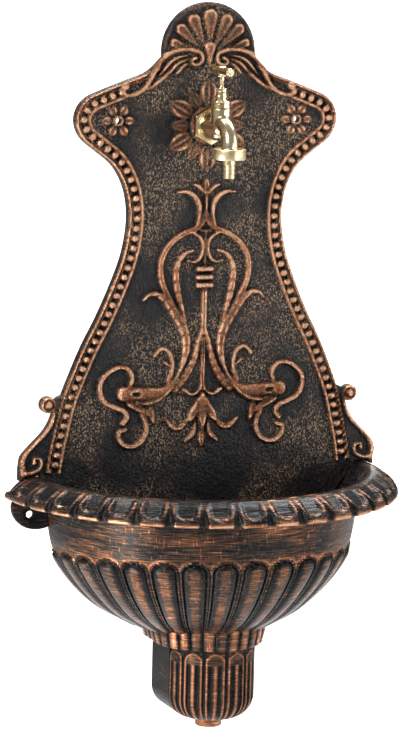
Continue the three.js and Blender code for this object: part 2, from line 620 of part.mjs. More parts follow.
function drainCover() {
  const top = COLLAR_FOOT_DROP + GAP;
  const foot = top + COVER_HEIGHT;
  const heart = [0, COVER_STRAIGHT];
  const points = 2 * COVER_FLUTES + 1;
  const front = COVER_STRAIGHT / (2 * COVER_STRAIGHT + Math.PI * COVER_HALF_WIDTH);
  const fluted = ({ inset, depth }) => (
    roundFront(COVER_HALF_WIDTH - inset, COVER_STRAIGHT, points - 1, (i, share) => (
      share > front && share < 1 - front && i % 2 === 1 ? -depth : 0)));
  const outside = loft([
    { drop: top, inset: 0, depth: 0 },
    { drop: top + COVER_ARCH_BAND, inset: 0, depth: 0 },
    { drop: top + COVER_ARCH_BAND + COVER_FLUTE_RISE, inset: 0, depth: COVER_FLUTE_DEPTH },
    { drop: foot - COVER_ROUND, inset: 0, depth: COVER_FLUTE_DEPTH },
    { drop: foot - COVER_ROUND * 0.45, inset: COVER_ROUND * 0.17, depth: COVER_FLUTE_DEPTH },
    { drop: foot - COVER_ROUND * 0.12, inset: COVER_ROUND * 0.52, depth: COVER_FLUTE_DEPTH },
    { drop: foot, inset: COVER_ROUND, depth: 0 },
  ], points, fluted, heart);
  const outlet = post(0, DRAIN_OFF_WALL, foot - PAST, foot + OUTLET_HEIGHT, OUTLET_RADIUS, 16);
  const shell = COVER_WALL + COVER_FLUTE_DEPTH;
  const inside = ({ inset }) => (
    roundFront(COVER_HALF_WIDTH - shell - inset, COVER_STRAIGHT, 16).map(([x, off]) => (
      [x, off > PAST ? off : -PAST])));
  const hollow = loft([
    { drop: top - PAST, inset: 0 },
    { drop: foot - COVER_ROUND, inset: 0 },
    { drop: foot - COVER_ROUND * 0.5, inset: COVER_ROUND * 0.25 },
    { drop: foot - COVER_WALL, inset: COVER_ROUND * 0.7 },
  ], 17, inside, heart);
  const boreFrom = foot - COVER_WALL - PAST;
  const bore = post(0, DRAIN_OFF_WALL, boreFrom, foot + OUTLET_HEIGHT + PAST, OUTLET_BORE_RADIUS, 12);
  return outside.add(outlet).subtract(hollow).subtract(bore);
}

function tapPieces() {
  const seat = FIELD_THICKNESS + TAP_SEAT_HEIGHT + GAP;
  const axis = [0, TAP_DROP];
  const hexRadius = HEX_ACROSS_FLATS / Math.sqrt(3);
  const spoutFoot = TAP_DROP + SPOUT_FALL;
  const spoutTop = spoutFoot - SPOUT_END_LENGTH;
  const centre = PLATE_TOP - TAP_DROP;
  const spoutPath = new THREE.CatmullRomCurve3([
    new THREE.Vector3(0, -STEM_OFF_WALL + 4, centre + 6),
    new THREE.Vector3(0, -(STEM_OFF_WALL + SPOUT_OFF_WALL) / 2, centre + 2),
    new THREE.Vector3(0, -SPOUT_OFF_WALL, centre - SPOUT_FALL / 3),
    new THREE.Vector3(0, -SPOUT_OFF_WALL, PLATE_TOP - spoutFoot + SPOUT_END_LENGTH / 2),
  ]);
  const section = new THREE.Shape();
  section.absarc(0, 0, SPOUT_RADIUS, 0, 2 * Math.PI);
  const bend = { extrudePath: spoutPath, steps: 5, curveSegments: 10 };
  const chamberTop = TAP_DROP - CHAMBER_HEIGHT;
  const barrelEnd = BARREL_RADIUS - BARREL_TAPER;
  const wayTop = spoutTop - SPOUT_END_LENGTH;
  const waterWay = post(0, SPOUT_OFF_WALL, wayTop, spoutFoot + PAST, WATER_BORE_RADIUS, 8);
  const body = joinAll([
    stud(axis, GAP, seat + PAST, TAP_HOLE_RADIUS - TAP_TAIL_CLEARANCE, 16),
    stud(axis, seat, seat + HEX_THICKNESS, hexRadius, 6),
    stud(axis, seat + HEX_THICKNESS - PAST, STEM_OFF_WALL, BARREL_RADIUS, 14, barrelEnd),
    post(0, STEM_OFF_WALL, chamberTop, TAP_DROP + barrelEnd, CHAMBER_RADIUS, 14),
    toSolid(new THREE.ExtrudeGeometry(section, bend)),
    post(0, SPOUT_OFF_WALL, spoutTop, spoutFoot, SPOUT_END_RADIUS, 16),
  ]).subtract(stud(axis, -PAST, STEM_OFF_WALL - CHAMBER_RADIUS, WATER_BORE_RADIUS, 8))
    .subtract(waterWay);

  const bonnetFoot = chamberTop - GAP;
  const neckFoot = bonnetFoot - BONNET_FLANGE_THICKNESS;
  const neckTop = neckFoot - BONNET_NECK_LENGTH;
  const glandFoot = neckTop - GAP;
  const glandTop = glandFoot - GLAND_LENGTH;
  const spindleFoot = neckTop + SPINDLE_FOOT;
  const hubFoot = glandTop - SPINDLE_SHOWN;
  const clear = SPINDLE_RADIUS + GAP;
  const bonnet = post(0, STEM_OFF_WALL, neckFoot, bonnetFoot, BONNET_FLANGE_RADIUS, 16)
    .add(post(0, STEM_OFF_WALL, neckTop, neckFoot + PAST, BONNET_NECK_RADIUS, 12))
    .subtract(post(0, STEM_OFF_WALL, neckTop - PAST, spindleFoot + GAP, clear, 8));
  const gland = post(0, STEM_OFF_WALL, glandTop, glandFoot, GLAND_RADIUS, 6)
    .subtract(post(0, STEM_OFF_WALL, glandTop - PAST, glandFoot + PAST, clear, 8));
  const spindle = post(0, STEM_OFF_WALL, hubFoot + GAP, spindleFoot, SPINDLE_RADIUS, 8);
  const barNear = STEM_OFF_WALL - HANDLE_HALF_LENGTH;
  const barFar = STEM_OFF_WALL + HANDLE_HALF_LENGTH;
  const hubTop = hubFoot - HANDLE_HUB_HEIGHT;
  const bar = stud([0, hubTop + HANDLE_HUB_RADIUS], barNear, barFar, HANDLE_BAR_RADIUS, 12);
  const handle = bar.add(post(0, STEM_OFF_WALL, hubTop, hubFoot, HANDLE_HUB_RADIUS, 12));

  const nutTop = spoutTop - GAP;
  const nutFoot = nutTop + NUT_HEIGHT;
  const tailTop = spoutFoot + GAP;
  const flangeFoot = tailTop + HOSE_TAIL_FLANGE;
  const nut = post(0, SPOUT_OFF_WALL, nutTop, nutFoot, NUT_RADIUS, 16)
    .subtract(post(0, SPOUT_OFF_WALL, nutTop - PAST, flangeFoot + GAP, SPOUT_END_RADIUS + GAP, 16))
    .subtract(post(0, SPOUT_OFF_WALL, nutTop, nutFoot + PAST, HOSE_TAIL_RADIUS + GAP, 12));
  const tailFoot = nutFoot + HOSE_TAIL_LENGTH;
  const tail = post(0, SPOUT_OFF_WALL, tailTop, flangeFoot, SPOUT_END_RADIUS - 1, 16)
    .add(post(0, SPOUT_OFF_WALL, tailTop, tailFoot, HOSE_TAIL_RADIUS, 12))
    .subtract(post(0, SPOUT_OFF_WALL, tailTop - PAST, tailFoot + PAST, HOSE_TAIL_BORE_RADIUS, 8));
  return [
    ['tap_body', body], ['tap_bonnet', bonnet], ['tap_gland_nut', gland], ['tap_spindle', spindle],
    ['tap_handle', handle], ['tap_coupling_nut', nut], ['tap_hose_tail', tail],
  ];
}

const fountain = new THREE.Group();
fountain.add(toMesh('back_plate', backPlate(), castMetal));
fountain.add(toMesh('basin', basin(), castMetal));
fountain.add(toMesh('drain_cover', drainCover(), castMetal));
for (const [name, solid] of tapPieces()) fountain.add(toMesh(name, solid, brass));

export default fountain;
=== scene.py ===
import math

import bmesh
import bpy
import numpy as np
from mathutils import Matrix, Vector


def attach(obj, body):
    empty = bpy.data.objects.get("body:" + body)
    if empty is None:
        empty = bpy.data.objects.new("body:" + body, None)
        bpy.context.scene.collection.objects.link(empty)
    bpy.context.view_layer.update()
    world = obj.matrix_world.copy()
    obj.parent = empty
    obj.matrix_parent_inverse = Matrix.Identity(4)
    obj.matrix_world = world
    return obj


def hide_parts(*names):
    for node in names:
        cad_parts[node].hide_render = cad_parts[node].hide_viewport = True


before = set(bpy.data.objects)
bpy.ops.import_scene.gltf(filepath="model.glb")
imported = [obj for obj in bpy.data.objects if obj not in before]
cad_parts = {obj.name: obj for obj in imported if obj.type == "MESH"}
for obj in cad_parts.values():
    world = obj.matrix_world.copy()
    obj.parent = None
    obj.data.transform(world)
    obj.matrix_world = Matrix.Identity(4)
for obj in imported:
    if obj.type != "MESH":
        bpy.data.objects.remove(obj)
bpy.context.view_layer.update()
print("frame loaded")

mm = 0.001
crestTop = 300.0  # the shell's top above the origin, in mm; places are drops below it


# Widths and heights along a stroke, from its start to its end
def even(size):
    return lambda t: size + 0 * t


def grow(start, end):
    return lambda t: start + (end - start) * t


def leaf(size, tip=0.4):
    return lambda t: tip + (size - tip) * np.sin(np.pi * np.clip(t, 0, 1)) ** 0.8


def pear(size, tip=0.8):
    return lambda t: tip + (size - tip) * np.sin(np.pi * np.clip(t, 0, 1) ** 1.7) ** 0.7


def ease(x, low, high):
    t = np.clip((x - low) / (high - low), 0, 1)
    return t * t * (3 - 2 * t)


def smoothCurve(points, pitch=1.0):
    p = np.array(points, float)
    p = np.vstack([2 * p[0] - p[1], p, 2 * p[-1] - p[-2]])
    out = []
    for a, b, c, d in zip(p[:-3], p[1:-2], p[2:-1], p[3:]):
        count = max(2, int(np.linalg.norm(c - b) / pitch))
        ta, tb, tc = (max(1e-6, np.linalg.norm(v)) ** 0.5 for v in (b - a, c - b, d - c))
        into = ((b - a) / ta - (c - a) / (ta + tb) + (c - b) / tb) * tb
        outof = ((c - b) / tb - (d - b) / (tb + tc) + (d - c) / tc) * tb
        for k in range(count):
            t = k / count
            out.append((2 * t**3 - 3 * t**2 + 1) * b + (t**3 - 2 * t**2 + t) * into
                       + (3 * t**2 - 2 * t**3) * c + (t**3 - t**2) * outof)
    out.append(p[-2])
    return np.array(out)


def spaced(line, count, first=0.0, last=1.0):
    run = np.concatenate([[0], np.cumsum(np.linalg.norm(np.diff(line, axis=0), axis=1))])
    at = np.linspace(first * run[-1], last * run[-1], count)
    return np.stack([np.interp(at, run, line[:, k]) for k in range(line.shape[1])], 1)


def nearest(x, d, line):  # distance to a line, share along it and the nearest place on it
    best = np.full(x.shape, 1e9)
    share, px, pd = np.zeros(x.shape), np.zeros(x.shape), np.zeros(x.shape)
    run = np.concatenate([[0], np.cumsum(np.linalg.norm(np.diff(line, axis=0), axis=1))])
    for k in range(len(line) - 1):
        (ax, ad), (bx, bd) = line[k], line[k + 1]
        length = max((bx - ax) ** 2 + (bd - ad) ** 2, 1e-9)
        t = np.clip(((x - ax) * (bx - ax) + (d - ad) * (bd - ad)) / length, 0, 1)
        qx, qd = ax + t * (bx - ax), ad + t * (bd - ad)
        gap = np.hypot(x - qx, d - qd)
        near = gap < best
        best = np.where(near, gap, best)
        share = np.where(near, (run[k] + t * (run[k + 1] - run[k])) / run[-1], share)
        px, pd = np.where(near, qx, px), np.where(near, qd, pd)
    return best, share, px, pd


def inside(x, d, loop):
    within = np.zeros(x.shape, bool)
    for (ax, ad), (bx, bd) in zip(loop, np.roll(loop, -1, axis=0)):
        if ad != bd:
            crosses = (ad > d) != (bd > d)
            within ^= crosses & (x < (bx - ax) * (d - ad) / (bd - ad) + ax)
    return within


def wrapGrid(columns, rows, place):  # a grid with each corner put where place says, in mm
    bm = bmesh.new()
    bmesh.ops.create_grid(bm, x_segments=columns, y_segments=rows, size=0.5)
    flat = np.array([v.co[:2] for v in bm.verts])
    i = np.rint((flat[:, 0] + 0.5) * columns).astype(int)
    j = np.rint((flat[:, 1] + 0.5) * rows).astype(int)
    xyz, copper_tone = place(i, j)
    layer = bm.verts.layers.float.new("rub_and_painted_light")
    for vert, co, rub_and_painted_light in zip(bm.verts, (xyz * mm).tolist(), copper_tone.tolist()):
        vert.co = co
        vert[layer] = rub_and_painted_light
    return bm


def finishPiece(bm, name, nodes, body="fountain", flatAngle=None):
    bmesh.ops.remove_doubles(bm, verts=bm.verts, dist=1e-5)
    bmesh.ops.dissolve_degenerate(bm, dist=1e-6, edges=bm.edges)
    bmesh.ops.recalc_face_normals(bm, faces=bm.faces)
    mesh = bpy.data.meshes.new(name)
    bm.to_mesh(mesh)
    bm.free()
    piece = bpy.data.objects.new(name, mesh)
    bpy.context.scene.collection.objects.link(piece)
    mesh.polygons.foreach_set("use_smooth", [True] * len(mesh.polygons))
    if flatAngle:
        mesh.set_sharp_from_angle(angle=math.radians(flatAngle))
    print(name, len(mesh.polygons), "faces")
    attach(piece, body)
    if nodes:
        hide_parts(*nodes)
    return piece


plate = {
    "pitch": 1.15, "reach": 190, "thickness": 6.5, "shellRadius": 47.5, "tapDrop": 118.0,
    "tapHole": 11.0, "seatRadius": 19, "rosette": (92, 113), "screwHole": 3.0, "rebateDrop": 466.0,
    "rebate": 3.5, "foot": 490.0, "tongue": 149.7, "rimDrop": 454.0, "bodyDrop": 478.0,
    "beadPitch": 9.75, "beadRadius": 4.1, "beadRise": 4.3, "beadInset": 8.9,
    "edge": [  # from the crest down to the rim, across and below the top
        [46, 51], [62, 66], [86, 75.5], [109, 84.2], [123, 90.4], [131.5, 99], [135.2, 110],
        [134, 120], [128, 130.5], [111.8, 143.5], [97, 155.5], [87.5, 170], [81.8, 187], [80, 210],
        [84.8, 241], [95, 269.5], [109, 301], [124, 330], [136, 357.5], [144.7, 380], [151, 405],
        [157, 432], [160, 452],
    ],
    "volute": [  # the panel's inner edge, its scroll and its foot on the rim
        [150, 452.4], [140, 440], [143, 376], [150, 380], [154, 397], [161, 410], [176, 425.5],
        [184, 435], [186, 446], [186, 458.2], [180, 456.2], [171, 454.0], [165.6, 454.0],
        [163.6, 459.5], [150, 461],
    ],
    "voluteBall": [157.5, 385, 8],  # across, drop, radius
}


def plateHeights():  # relief and rub of the plate's right half, the rub darker in the low places as patina and painted shade, with depth inside its outline
    pitch = plate["pitch"]
    across = np.arange(0, plate["reach"] + pitch, pitch)
    down = np.arange(0, plate["foot"] + pitch, pitch)
    x, d = np.meshgrid(across, down)
    edge = smoothCurve(plate["edge"])
    t = plate["tongue"]  # the foot narrows to a tongue in front of the basin's back wall
    foot = [[t + 13.3, plate["rimDrop"] + 3], [t + 7.0, plate["bodyDrop"] - 8.7],
            [t, plate["bodyDrop"] - 1], [t - 6, plate["foot"]]]
    half = np.vstack([edge, foot])
    outline = np.vstack([half, (half * [-1, 1])[::-1]])
    turn = np.linspace(0, 2 * np.pi, 120)
    r = plate["shellRadius"]
    shell = np.stack([r * np.sin(turn), r - r * np.cos(turn)], 1)
    volute = np.vstack([smoothCurve(plate["volute"][2:9]), plate["volute"][9:], plate["volute"][:2]])
    bx, bd, br = plate["voluteBall"]
    ball = np.stack([bx + br * np.sin(turn), bd + br * np.cos(turn)], 1)
    depth = np.full(x.shape, -1e9)
    qx, qd = x.copy(), d.copy()
    for loop in (outline, shell, volute, ball):
        gap, _, px, pd = nearest(x, d, np.vstack([loop, loop[:1]]))
        signed = np.where(inside(x, d, loop), gap, -gap)
        deeper = signed > depth
        depth = np.where(deeper, signed, depth)
        qx, qd = np.where(deeper, px, qx), np.where(deeper, pd, qd)
    h = np.zeros(x.shape)
    patina_and_shade_ring, beads, nicks = np.zeros(x.shape), np.zeros(x.shape), np.zeros(x.shape)

    def window(line, reach):  # the part of the grid that a stroke can touch
        low, high = line.min(0) - reach, line.max(0) + reach
        (left, top), (right, bottom) = (low / pitch).astype(int), (high / pitch).astype(int) + 2
        rows, columns = x.shape
        return (slice(*np.clip([top, bottom], 0, rows)), slice(*np.clip([left, right], 0, columns)))

    # a stroke along points: power rounds it, hollow and share groove it, rib fills the groove,
    # and cuts nicks its sides
    def carve(points, width, height, power=0.6, hollow=0.0, share=0.72, rib=0.0, cuts=0):
        line = smoothCurve(points)
        reach = float(np.max(width(np.linspace(0, 1, 40)))) + 2.5
        win = window(line, reach)
        if x[win].size == 0:
            return
        gap, along, _, _ = nearest(x[win], d[win], line)
        u = gap / np.maximum(width(along), 0.05)
        shape = np.maximum(0, 1 - u**2) ** power
        shape = shape - hollow * np.maximum(0, 1 - (u / share) ** 2) ** 0.8
        shape = shape + rib * np.maximum(0, 1 - (u / 0.16) ** 2)
        phase = (along * cuts - 0.35 * u) % 1
        cut = np.maximum(0, 1 - np.abs(phase - 0.5) / 0.15) * ease(u, 0.05, 0.4) * (cuts > 0)
        shape = shape * (1 - 0.22 * cut)
        new = height(along) * shape
        covers = (u < 1) & (new > h[win])
        h[win], nicks[win] = np.where(covers, new, h[win]), np.where(covers, cut, nicks[win])
        # a ring round the stroke's foot, darkened later as patina and painted shade
        halo = (gap > width(along)) & (gap < width(along) + 1.6)
        patina_and_shade_ring[win] = np.maximum(patina_and_shade_ring[win], halo * 1.0)

    # the beaded border, by its distance from the edge
    gap, share, _, _ = nearest(x, d, edge)
    s = np.where(inside(x, d, outline), gap, -gap)
    ranged = (share > 0.004) & (share < 0.999) & (s > -0.5) & (d < plate["rimDrop"] - 1)
    fade = ease(share, 0.0, 0.03)

    def bump(centre, width, height):
        return height * np.maximum(0, 1 - ((s - centre) / width) ** 2) ** 0.7

    strip = np.where((s > 5.8) & (s < 12.4), -0.9, 0)
    ridges = np.maximum.reduce([
        bump(2.2, 1.35, 3.2), bump(5.0, 1.1, 2.7), np.where(s < 5.8, 0.5, 0), bump(14.2, 2.5, 2.7)])
    h = np.where(ranged, np.where(ridges > 0, ridges, strip) * fade, h)
    beadLine = offsetLine(edge, plate["beadInset"])
    count = int(0.885 * lineLength(edge) / plate["beadPitch"])
    size = plate["beadRadius"]
    for cx, cd in spaced(beadLine, 2 * count + 1, 0.11, 0.99)[1::2]:
        win = window(np.array([[cx, cd]]), 5)
        away = np.hypot(x[win] - cx, d[win] - cd)
        dome = plate["beadRise"] * np.sqrt(np.maximum(0, 1 - (away / size) ** 2)) - 0.7
        h[win] = np.where(away < size, np.maximum(h[win], dome), h[win])
        beads[win] = np.maximum(beads[win], ease(away, 4.2, 3.0))

    # the shell
    centre = np.hypot(x, d - r)
    h = np.where((centre < r) & ((s < 0) | (d < 60)), 0, h)
    lip = r - centre
    thin = 0.5 * np.maximum(0, 1 - ((lip - 2.4) / 1.5) ** 2) ** 0.7
    h = np.where((centre < r) & (d < 52), np.maximum(h, thin), h)
    hub = np.array([0.0, 54.0])
    for px, pd in ([10.4, 7.5], [27.2, 16.5], [37.8, 29.5]):
        tip = np.array([px, pd])
        carve([hub + (tip - hub) * 0.4, hub + (tip - hub) * 0.7, tip], leaf(1.0), even(1.6))
    for px, pd, width in ([0, 6.0, 7.9], [19.6, 11.4, 7.0], [33.8, 21.6, 6.1], [41.0, 37.2, 4.8]):
        tip = np.array([px, pd])
        way = (tip - hub) / np.linalg.norm(tip - hub)
        start, end = hub + (tip - hub) * 0.3, tip - way * width
        carve([start, (start + end) / 2, end], grow(1.5, width), grow(2.6, 4.6), 0.45, 0.5, 0.76)
    carve([[0, 63.5], [0, 54], [0, 43]], grow(0.7, 6.6), grow(2.6, 4.8), 0.5, 0.3, 0.7)

    # the crest's scrolls and their strands
    scroll = [
        [15, 53.5], [19, 57], [14, 60], [8, 56], [8.4, 50], [15.5, 46], [26, 45], [38, 47.4],
        [48.5, 54], [56, 65], [63, 78], [72, 86.5], [81.5, 89], [87, 85.5], [86, 79.5],
    ]
    carve(scroll, leaf(3.0, 1.5), even(4.6), 0.6, 0.35, 0.45)
    carve([[15, 53.6], [15.1, 53.7]], even(2.6), even(4.4), 0.5)
    carve([[86, 80.5], [86.1, 80.6]], even(4.9), even(5.2), 0.5)
    for strand in ([[20, 50], [36, 54.5], [51, 70]], [[21, 54], [32, 58.5], [41, 68]],
                   [[21.5, 58], [28, 62], [33, 68.5]]):
        carve(strand, leaf(2.1, 0.9), even(2.8))
    carve([[20, 63.5], [36, 68], [52, 77.5], [63, 86.5]], even(1.0), even(1.5))

    # the sunflower and the rosettes
    def petals(cx, cd, number, outer, inner, width, height, turned, ribbed):
        for k in range(number):
            a = turned + 2 * math.pi * k / number
            way = np.array([math.sin(a), -math.cos(a)])
            middle = np.array([cx, cd])
            line = [middle + way * q for q in (inner, (inner + outer) / 2, outer)]
            if max(p[0] for p in line) > -3:
                carve(line, leaf(width, 0.5), leaf(height, 1.4), 0.5, 0.62, 0.76, ribbed)

    tap = plate["tapDrop"]
    petals(0, tap, 6, 38.5, 16, 6.6, 3.9, math.pi / 6, 0.3)
    petals(0, tap, 6, 46.0, 16, 9.2, 5.0, 0, 0.4)
    away, size = np.hypot(x, d - tap), plate["seatRadius"]
    h = np.where(away < size, 3 - 2.2 * ease(away, size - 1.4, size), h)
    cx, cd = plate["rosette"]
    petals(cx, cd, 6, 17.5, 4.5, 4.6, 5.0, math.pi / 6, 0.0)
    away = np.hypot(x - cx, d - cd)
    boss = 3.2 * np.sqrt(np.maximum(0, 1 - ((away - 3.9) / 1.8) ** 2))
    h = np.where(away < 5.7, np.maximum(boss, 0.6), h)

    # the side volutes
    h = np.where(inside(x, d, volute) & (s < 0), 0.6, h)
    carve([[148, 383], [151.6, 398], [158.5, 411.5], [170, 424], [178, 434], [181, 445]],
          even(1.0), even(2.2))
    carve([[153.5, 391], [154.6, 401], [161, 411.5], [170.5, 420.8], [180, 430.5], [183.6, 440.5],
           [181.5, 451]],
          even(3.2), even(4.2), 0.6, 0.3, 0.4)
    carve([[180, 450], [172, 449.5], [164.5, 445], [165, 437.5], [171, 436.5], [171.5, 441]],
          grow(2.8, 1.7), grow(4.2, 3.4))
    carve([[170.5, 440.5], [170.7, 440.7]], even(2.2), even(3.6), 0.5)
    away = np.hypot(x - bx, d - bd)
    dome = 5.2 * np.sqrt(np.maximum(0, 1 - (away / 7.9) ** 2))
    dome = dome - 2.6 * np.maximum(0, 1 - ((away - 4.6) / 1.3) ** 2)
    h = np.where(away < 7.9, np.maximum(h, dome), h)

    # arabesque: scrolls, leaves, one of the paired dolphins
    carve([[14.5, 174.6], [7.5, 177.5], [1.6, 184.5]], leaf(2.9, 0.8), even(3.1))
    carve([[29.4, 182.4], [20.1, 182.2], [11.9, 187.2], [7.3, 195.5], [6.8, 204.8], [10, 214.5]],
          leaf(3.3, 1.3), even(3.9), 0.6, 0.3, 0.4)
    carve([[0.3, 203.6], [2.8, 210], [6.6, 215], [12, 218.6], [22.8, 222.7], [33.8, 229.8],
           [42.8, 241.8], [45.9, 254.7], [44, 269], [39, 281], [33, 291], [27, 302]],
          even(3.5), even(4.1), 0.6, 0.42, 0.42)
    carve([[16, 221], [7.4, 225], [2.9, 231], [2.6, 238.5], [5, 245.8], [10.5, 250], [18.2, 249]],
          leaf(2.6, 1.2), even(3.5))
    carve([[13, 239], [20.4, 241.6], [26.4, 248], [29.6, 257], [29.4, 268], [27.5, 280], [24.6, 291],
           [21.5, 302], [18.2, 313]],
          leaf(4.4, 1.6), even(3.9), 0.6, 0.2, 0.3, 0.0, 8)
    carve([[63.7, 287.5], [57.5, 281.5], [50, 280.5], [42, 285], [34.5, 293.7], [27.5, 304],
           [21.3, 315], [17.9, 328], [18.4, 340], [22, 352.7], [28, 364]],
          leaf(6.0, 0.8), leaf(5.2, 3), 0.6, 0.25, 0.3, 0.0, 11)
    carve([[1.5, 318], [4.4, 326], [6.8, 336], [10.4, 347], [15.7, 358], [22.6, 367.7], [28.5, 373.5]],
          grow(3.0, 5.6), even(4.0), 0.6, 0.25, 0.3, 0.0, 8)
    carve([[1, 371], [5, 378], [11.8, 380.2], [19.1, 375.4]], grow(1.8, 2.7), even(3.3))
    carve([[26, 361], [33, 370], [43, 376.6], [56, 378.6], [70, 377.8], [80.6, 377]],
          lambda t: 2.4 + 6.0 * ease(t, 0, 0.62), lambda t: 3.4 + 2.6 * ease(t, 0, 0.5), 0.5)
    carve([[30, 371], [39, 379], [50, 385.5], [62, 387], [74, 385]],
          leaf(3.4, 0.8), even(5.4), 0.6, 0.0, 0.3, 0.0, 5)
    carve([[78, 387.5], [66, 391.5], [54, 399.5]], leaf(4.4, 0.8), even(4.6), 0.6, 0.3, 0.4)
    carve([[76, 372], [73, 361], [78, 352.8], [86, 350.8], [96.4, 355], [104.5, 364], [105.4, 375],
           [100.4, 384.5], [90, 390], [81, 394], [77.8, 400], [81.5, 405.5]],
          grow(2.8, 3.3), even(4.2), 0.6, 0.35, 0.4)
    carve([[70, 385], [74.5, 388], [79, 384.5]], leaf(2.8), even(3.6))
    carve([[54, 384], [53.5, 396], [49.2, 408]], leaf(4.3), even(4.1), 0.6, 0.4, 0.4)
    carve([[61.4, 398], [57.8, 407], [57.6, 415.5], [62, 423.8], [70.5, 428.6], [79, 427.6],
           [85.3, 421], [85.2, 414.6], [79.5, 412]],
          grow(3.5, 2.9), even(4), 0.6, 0.35, 0.4)
    carve([[36, 367], [32.4, 358], [31.8, 348.5], [35, 338.4], [42.6, 334], [50.4, 340.6]],
          grow(3.3, 2.1), even(3.7), 0.6, 0.35, 0.4)
    carve([[43.4, 345.5], [38.5, 348.5], [33, 353]], leaf(1.9), even(3.1))
    carve([[13, 402], [20.7, 410.9], [27.8, 412.4], [37.7, 404.4]],
          leaf(3.7, 1.2), even(3.5), 0.6, 0.35, 0.4)
    carve([[6.5, 407], [8, 417], [17.5, 427]], leaf(3.2, 0.8), even(3.6), 0.6, 0.35, 0.4)
    eye = np.hypot((x - 69.5) / 5.8, (d - 377.4 + 0.1 * (x - 69.5)) / 2.9)
    h = np.where(eye < 1.3, np.maximum(h, 6.4), h) - 2.8 * ease(eye, 0.85, 0.5)

    # the stem between them
    carve([[0, 168.5], [0, 176], [0, 184]], leaf(3.6), even(3.7), 0.6, 0.5, 0.5)
    carve([[0, 182], [0, 194], [0, 206]], even(2.1), even(3.4))
    carve([[-5.2, 219.8], [0, 219.8], [5.2, 219.8]], even(1.7), even(3.6))
    carve([[0, 222], [0, 238], [0, 255]], leaf(2.4, 1.3), even(3.0))
    for bar in (257.3, 265.2, 273.1):
        carve([[-6, bar], [0, bar], [6, bar]], even(3.7), even(5.0), 0.45)
    for start, end, width in ((275, 319, 3.5), (326, 375, 2.6)):
        carve([[0, start], [0, (start + end) / 2], [0, end]], even(width), even(4.1), 0.6, 0.5, 0.45)
    carve([[3.2, 384], [7.2, 394.5], [13.4, 405]], pear(5.6, 2.4), even(5.4), 0.6, 0.22, 0.5)
    carve([[0, 380.5], [0, 394], [0, 409.5]], pear(6.0, 3.2), even(6.2), 0.6, 0.22, 0.5)
    carve([[0, 404], [0, 409], [0, 415]], leaf(3.8), even(5.2))
    carve([[0, 411], [0, 421], [0, 432.5]], leaf(4.4), even(3.5), 0.6, 0.4, 0.4)

    # edges rounded over, and darker rub in the low places and round each stroke's foot, partly patina
    # and partly painted shade
    soft = np.clip(depth, 0, 1.4) / 1.4
    h = h - 1.2 * (1 - np.sqrt(np.maximum(0, 1 - (1 - soft) ** 2)))
    wide = blurred(h, 3)
    near = blurred(h, 1)
    # the rub drops in hollows and in the ring round each stroke: patina together with painted shade
    rub_and_painted_light = 0.6 * np.clip((near - wide) / 0.8, -1, 1) + 0.36 * ease(h, 0.6, 2.6)
    rub_and_painted_light = rub_and_painted_light + 0.28 * beads - 0.42 * nicks - 0.35 * patina_and_shade_ring * (h < 0.5)
    rub_and_painted_light = rub_and_painted_light - 0.3 * ease(d, 118, 96) * (s < 3.6) * ranged  # border black above
    return x, d, h, rub_and_painted_light, depth, qx, qd


def blurred(field, radius):
    for axis in (0, 1):
        margin = [(radius, radius) if k == axis else (0, 0) for k in (0, 1)]
        padded, long = np.pad(field, margin, mode="edge"), field.shape[axis]
        parts = [np.take(padded, range(k, k + long), axis=axis) for k in range(2 * radius + 1)]
        field = sum(parts) / len(parts)
    return field


def lineLength(line):
    return float(np.sum(np.linalg.norm(np.diff(line, axis=0), axis=1)))


def offsetLine(line, inset):
    way = np.gradient(line, axis=0)
    way = way / np.linalg.norm(way, axis=1)[:, None]
    return line + inset * np.stack([-way[:, 1], way[:, 0]], 1)


def fillFlat(bm, edges):
    bmesh.ops.triangle_fill(bm, use_beauty=False, use_dissolve=False, edges=edges)


def openEnd(bm, x, off, d):  # the open edges' vertex nearest to a place
    want = Vector((x, -off, crestTop - d)) * mm
    rim = {v for e in bm.edges if e.is_boundary for v in e.verts}
    return min(rim, key=lambda v: (v.co - want).length)


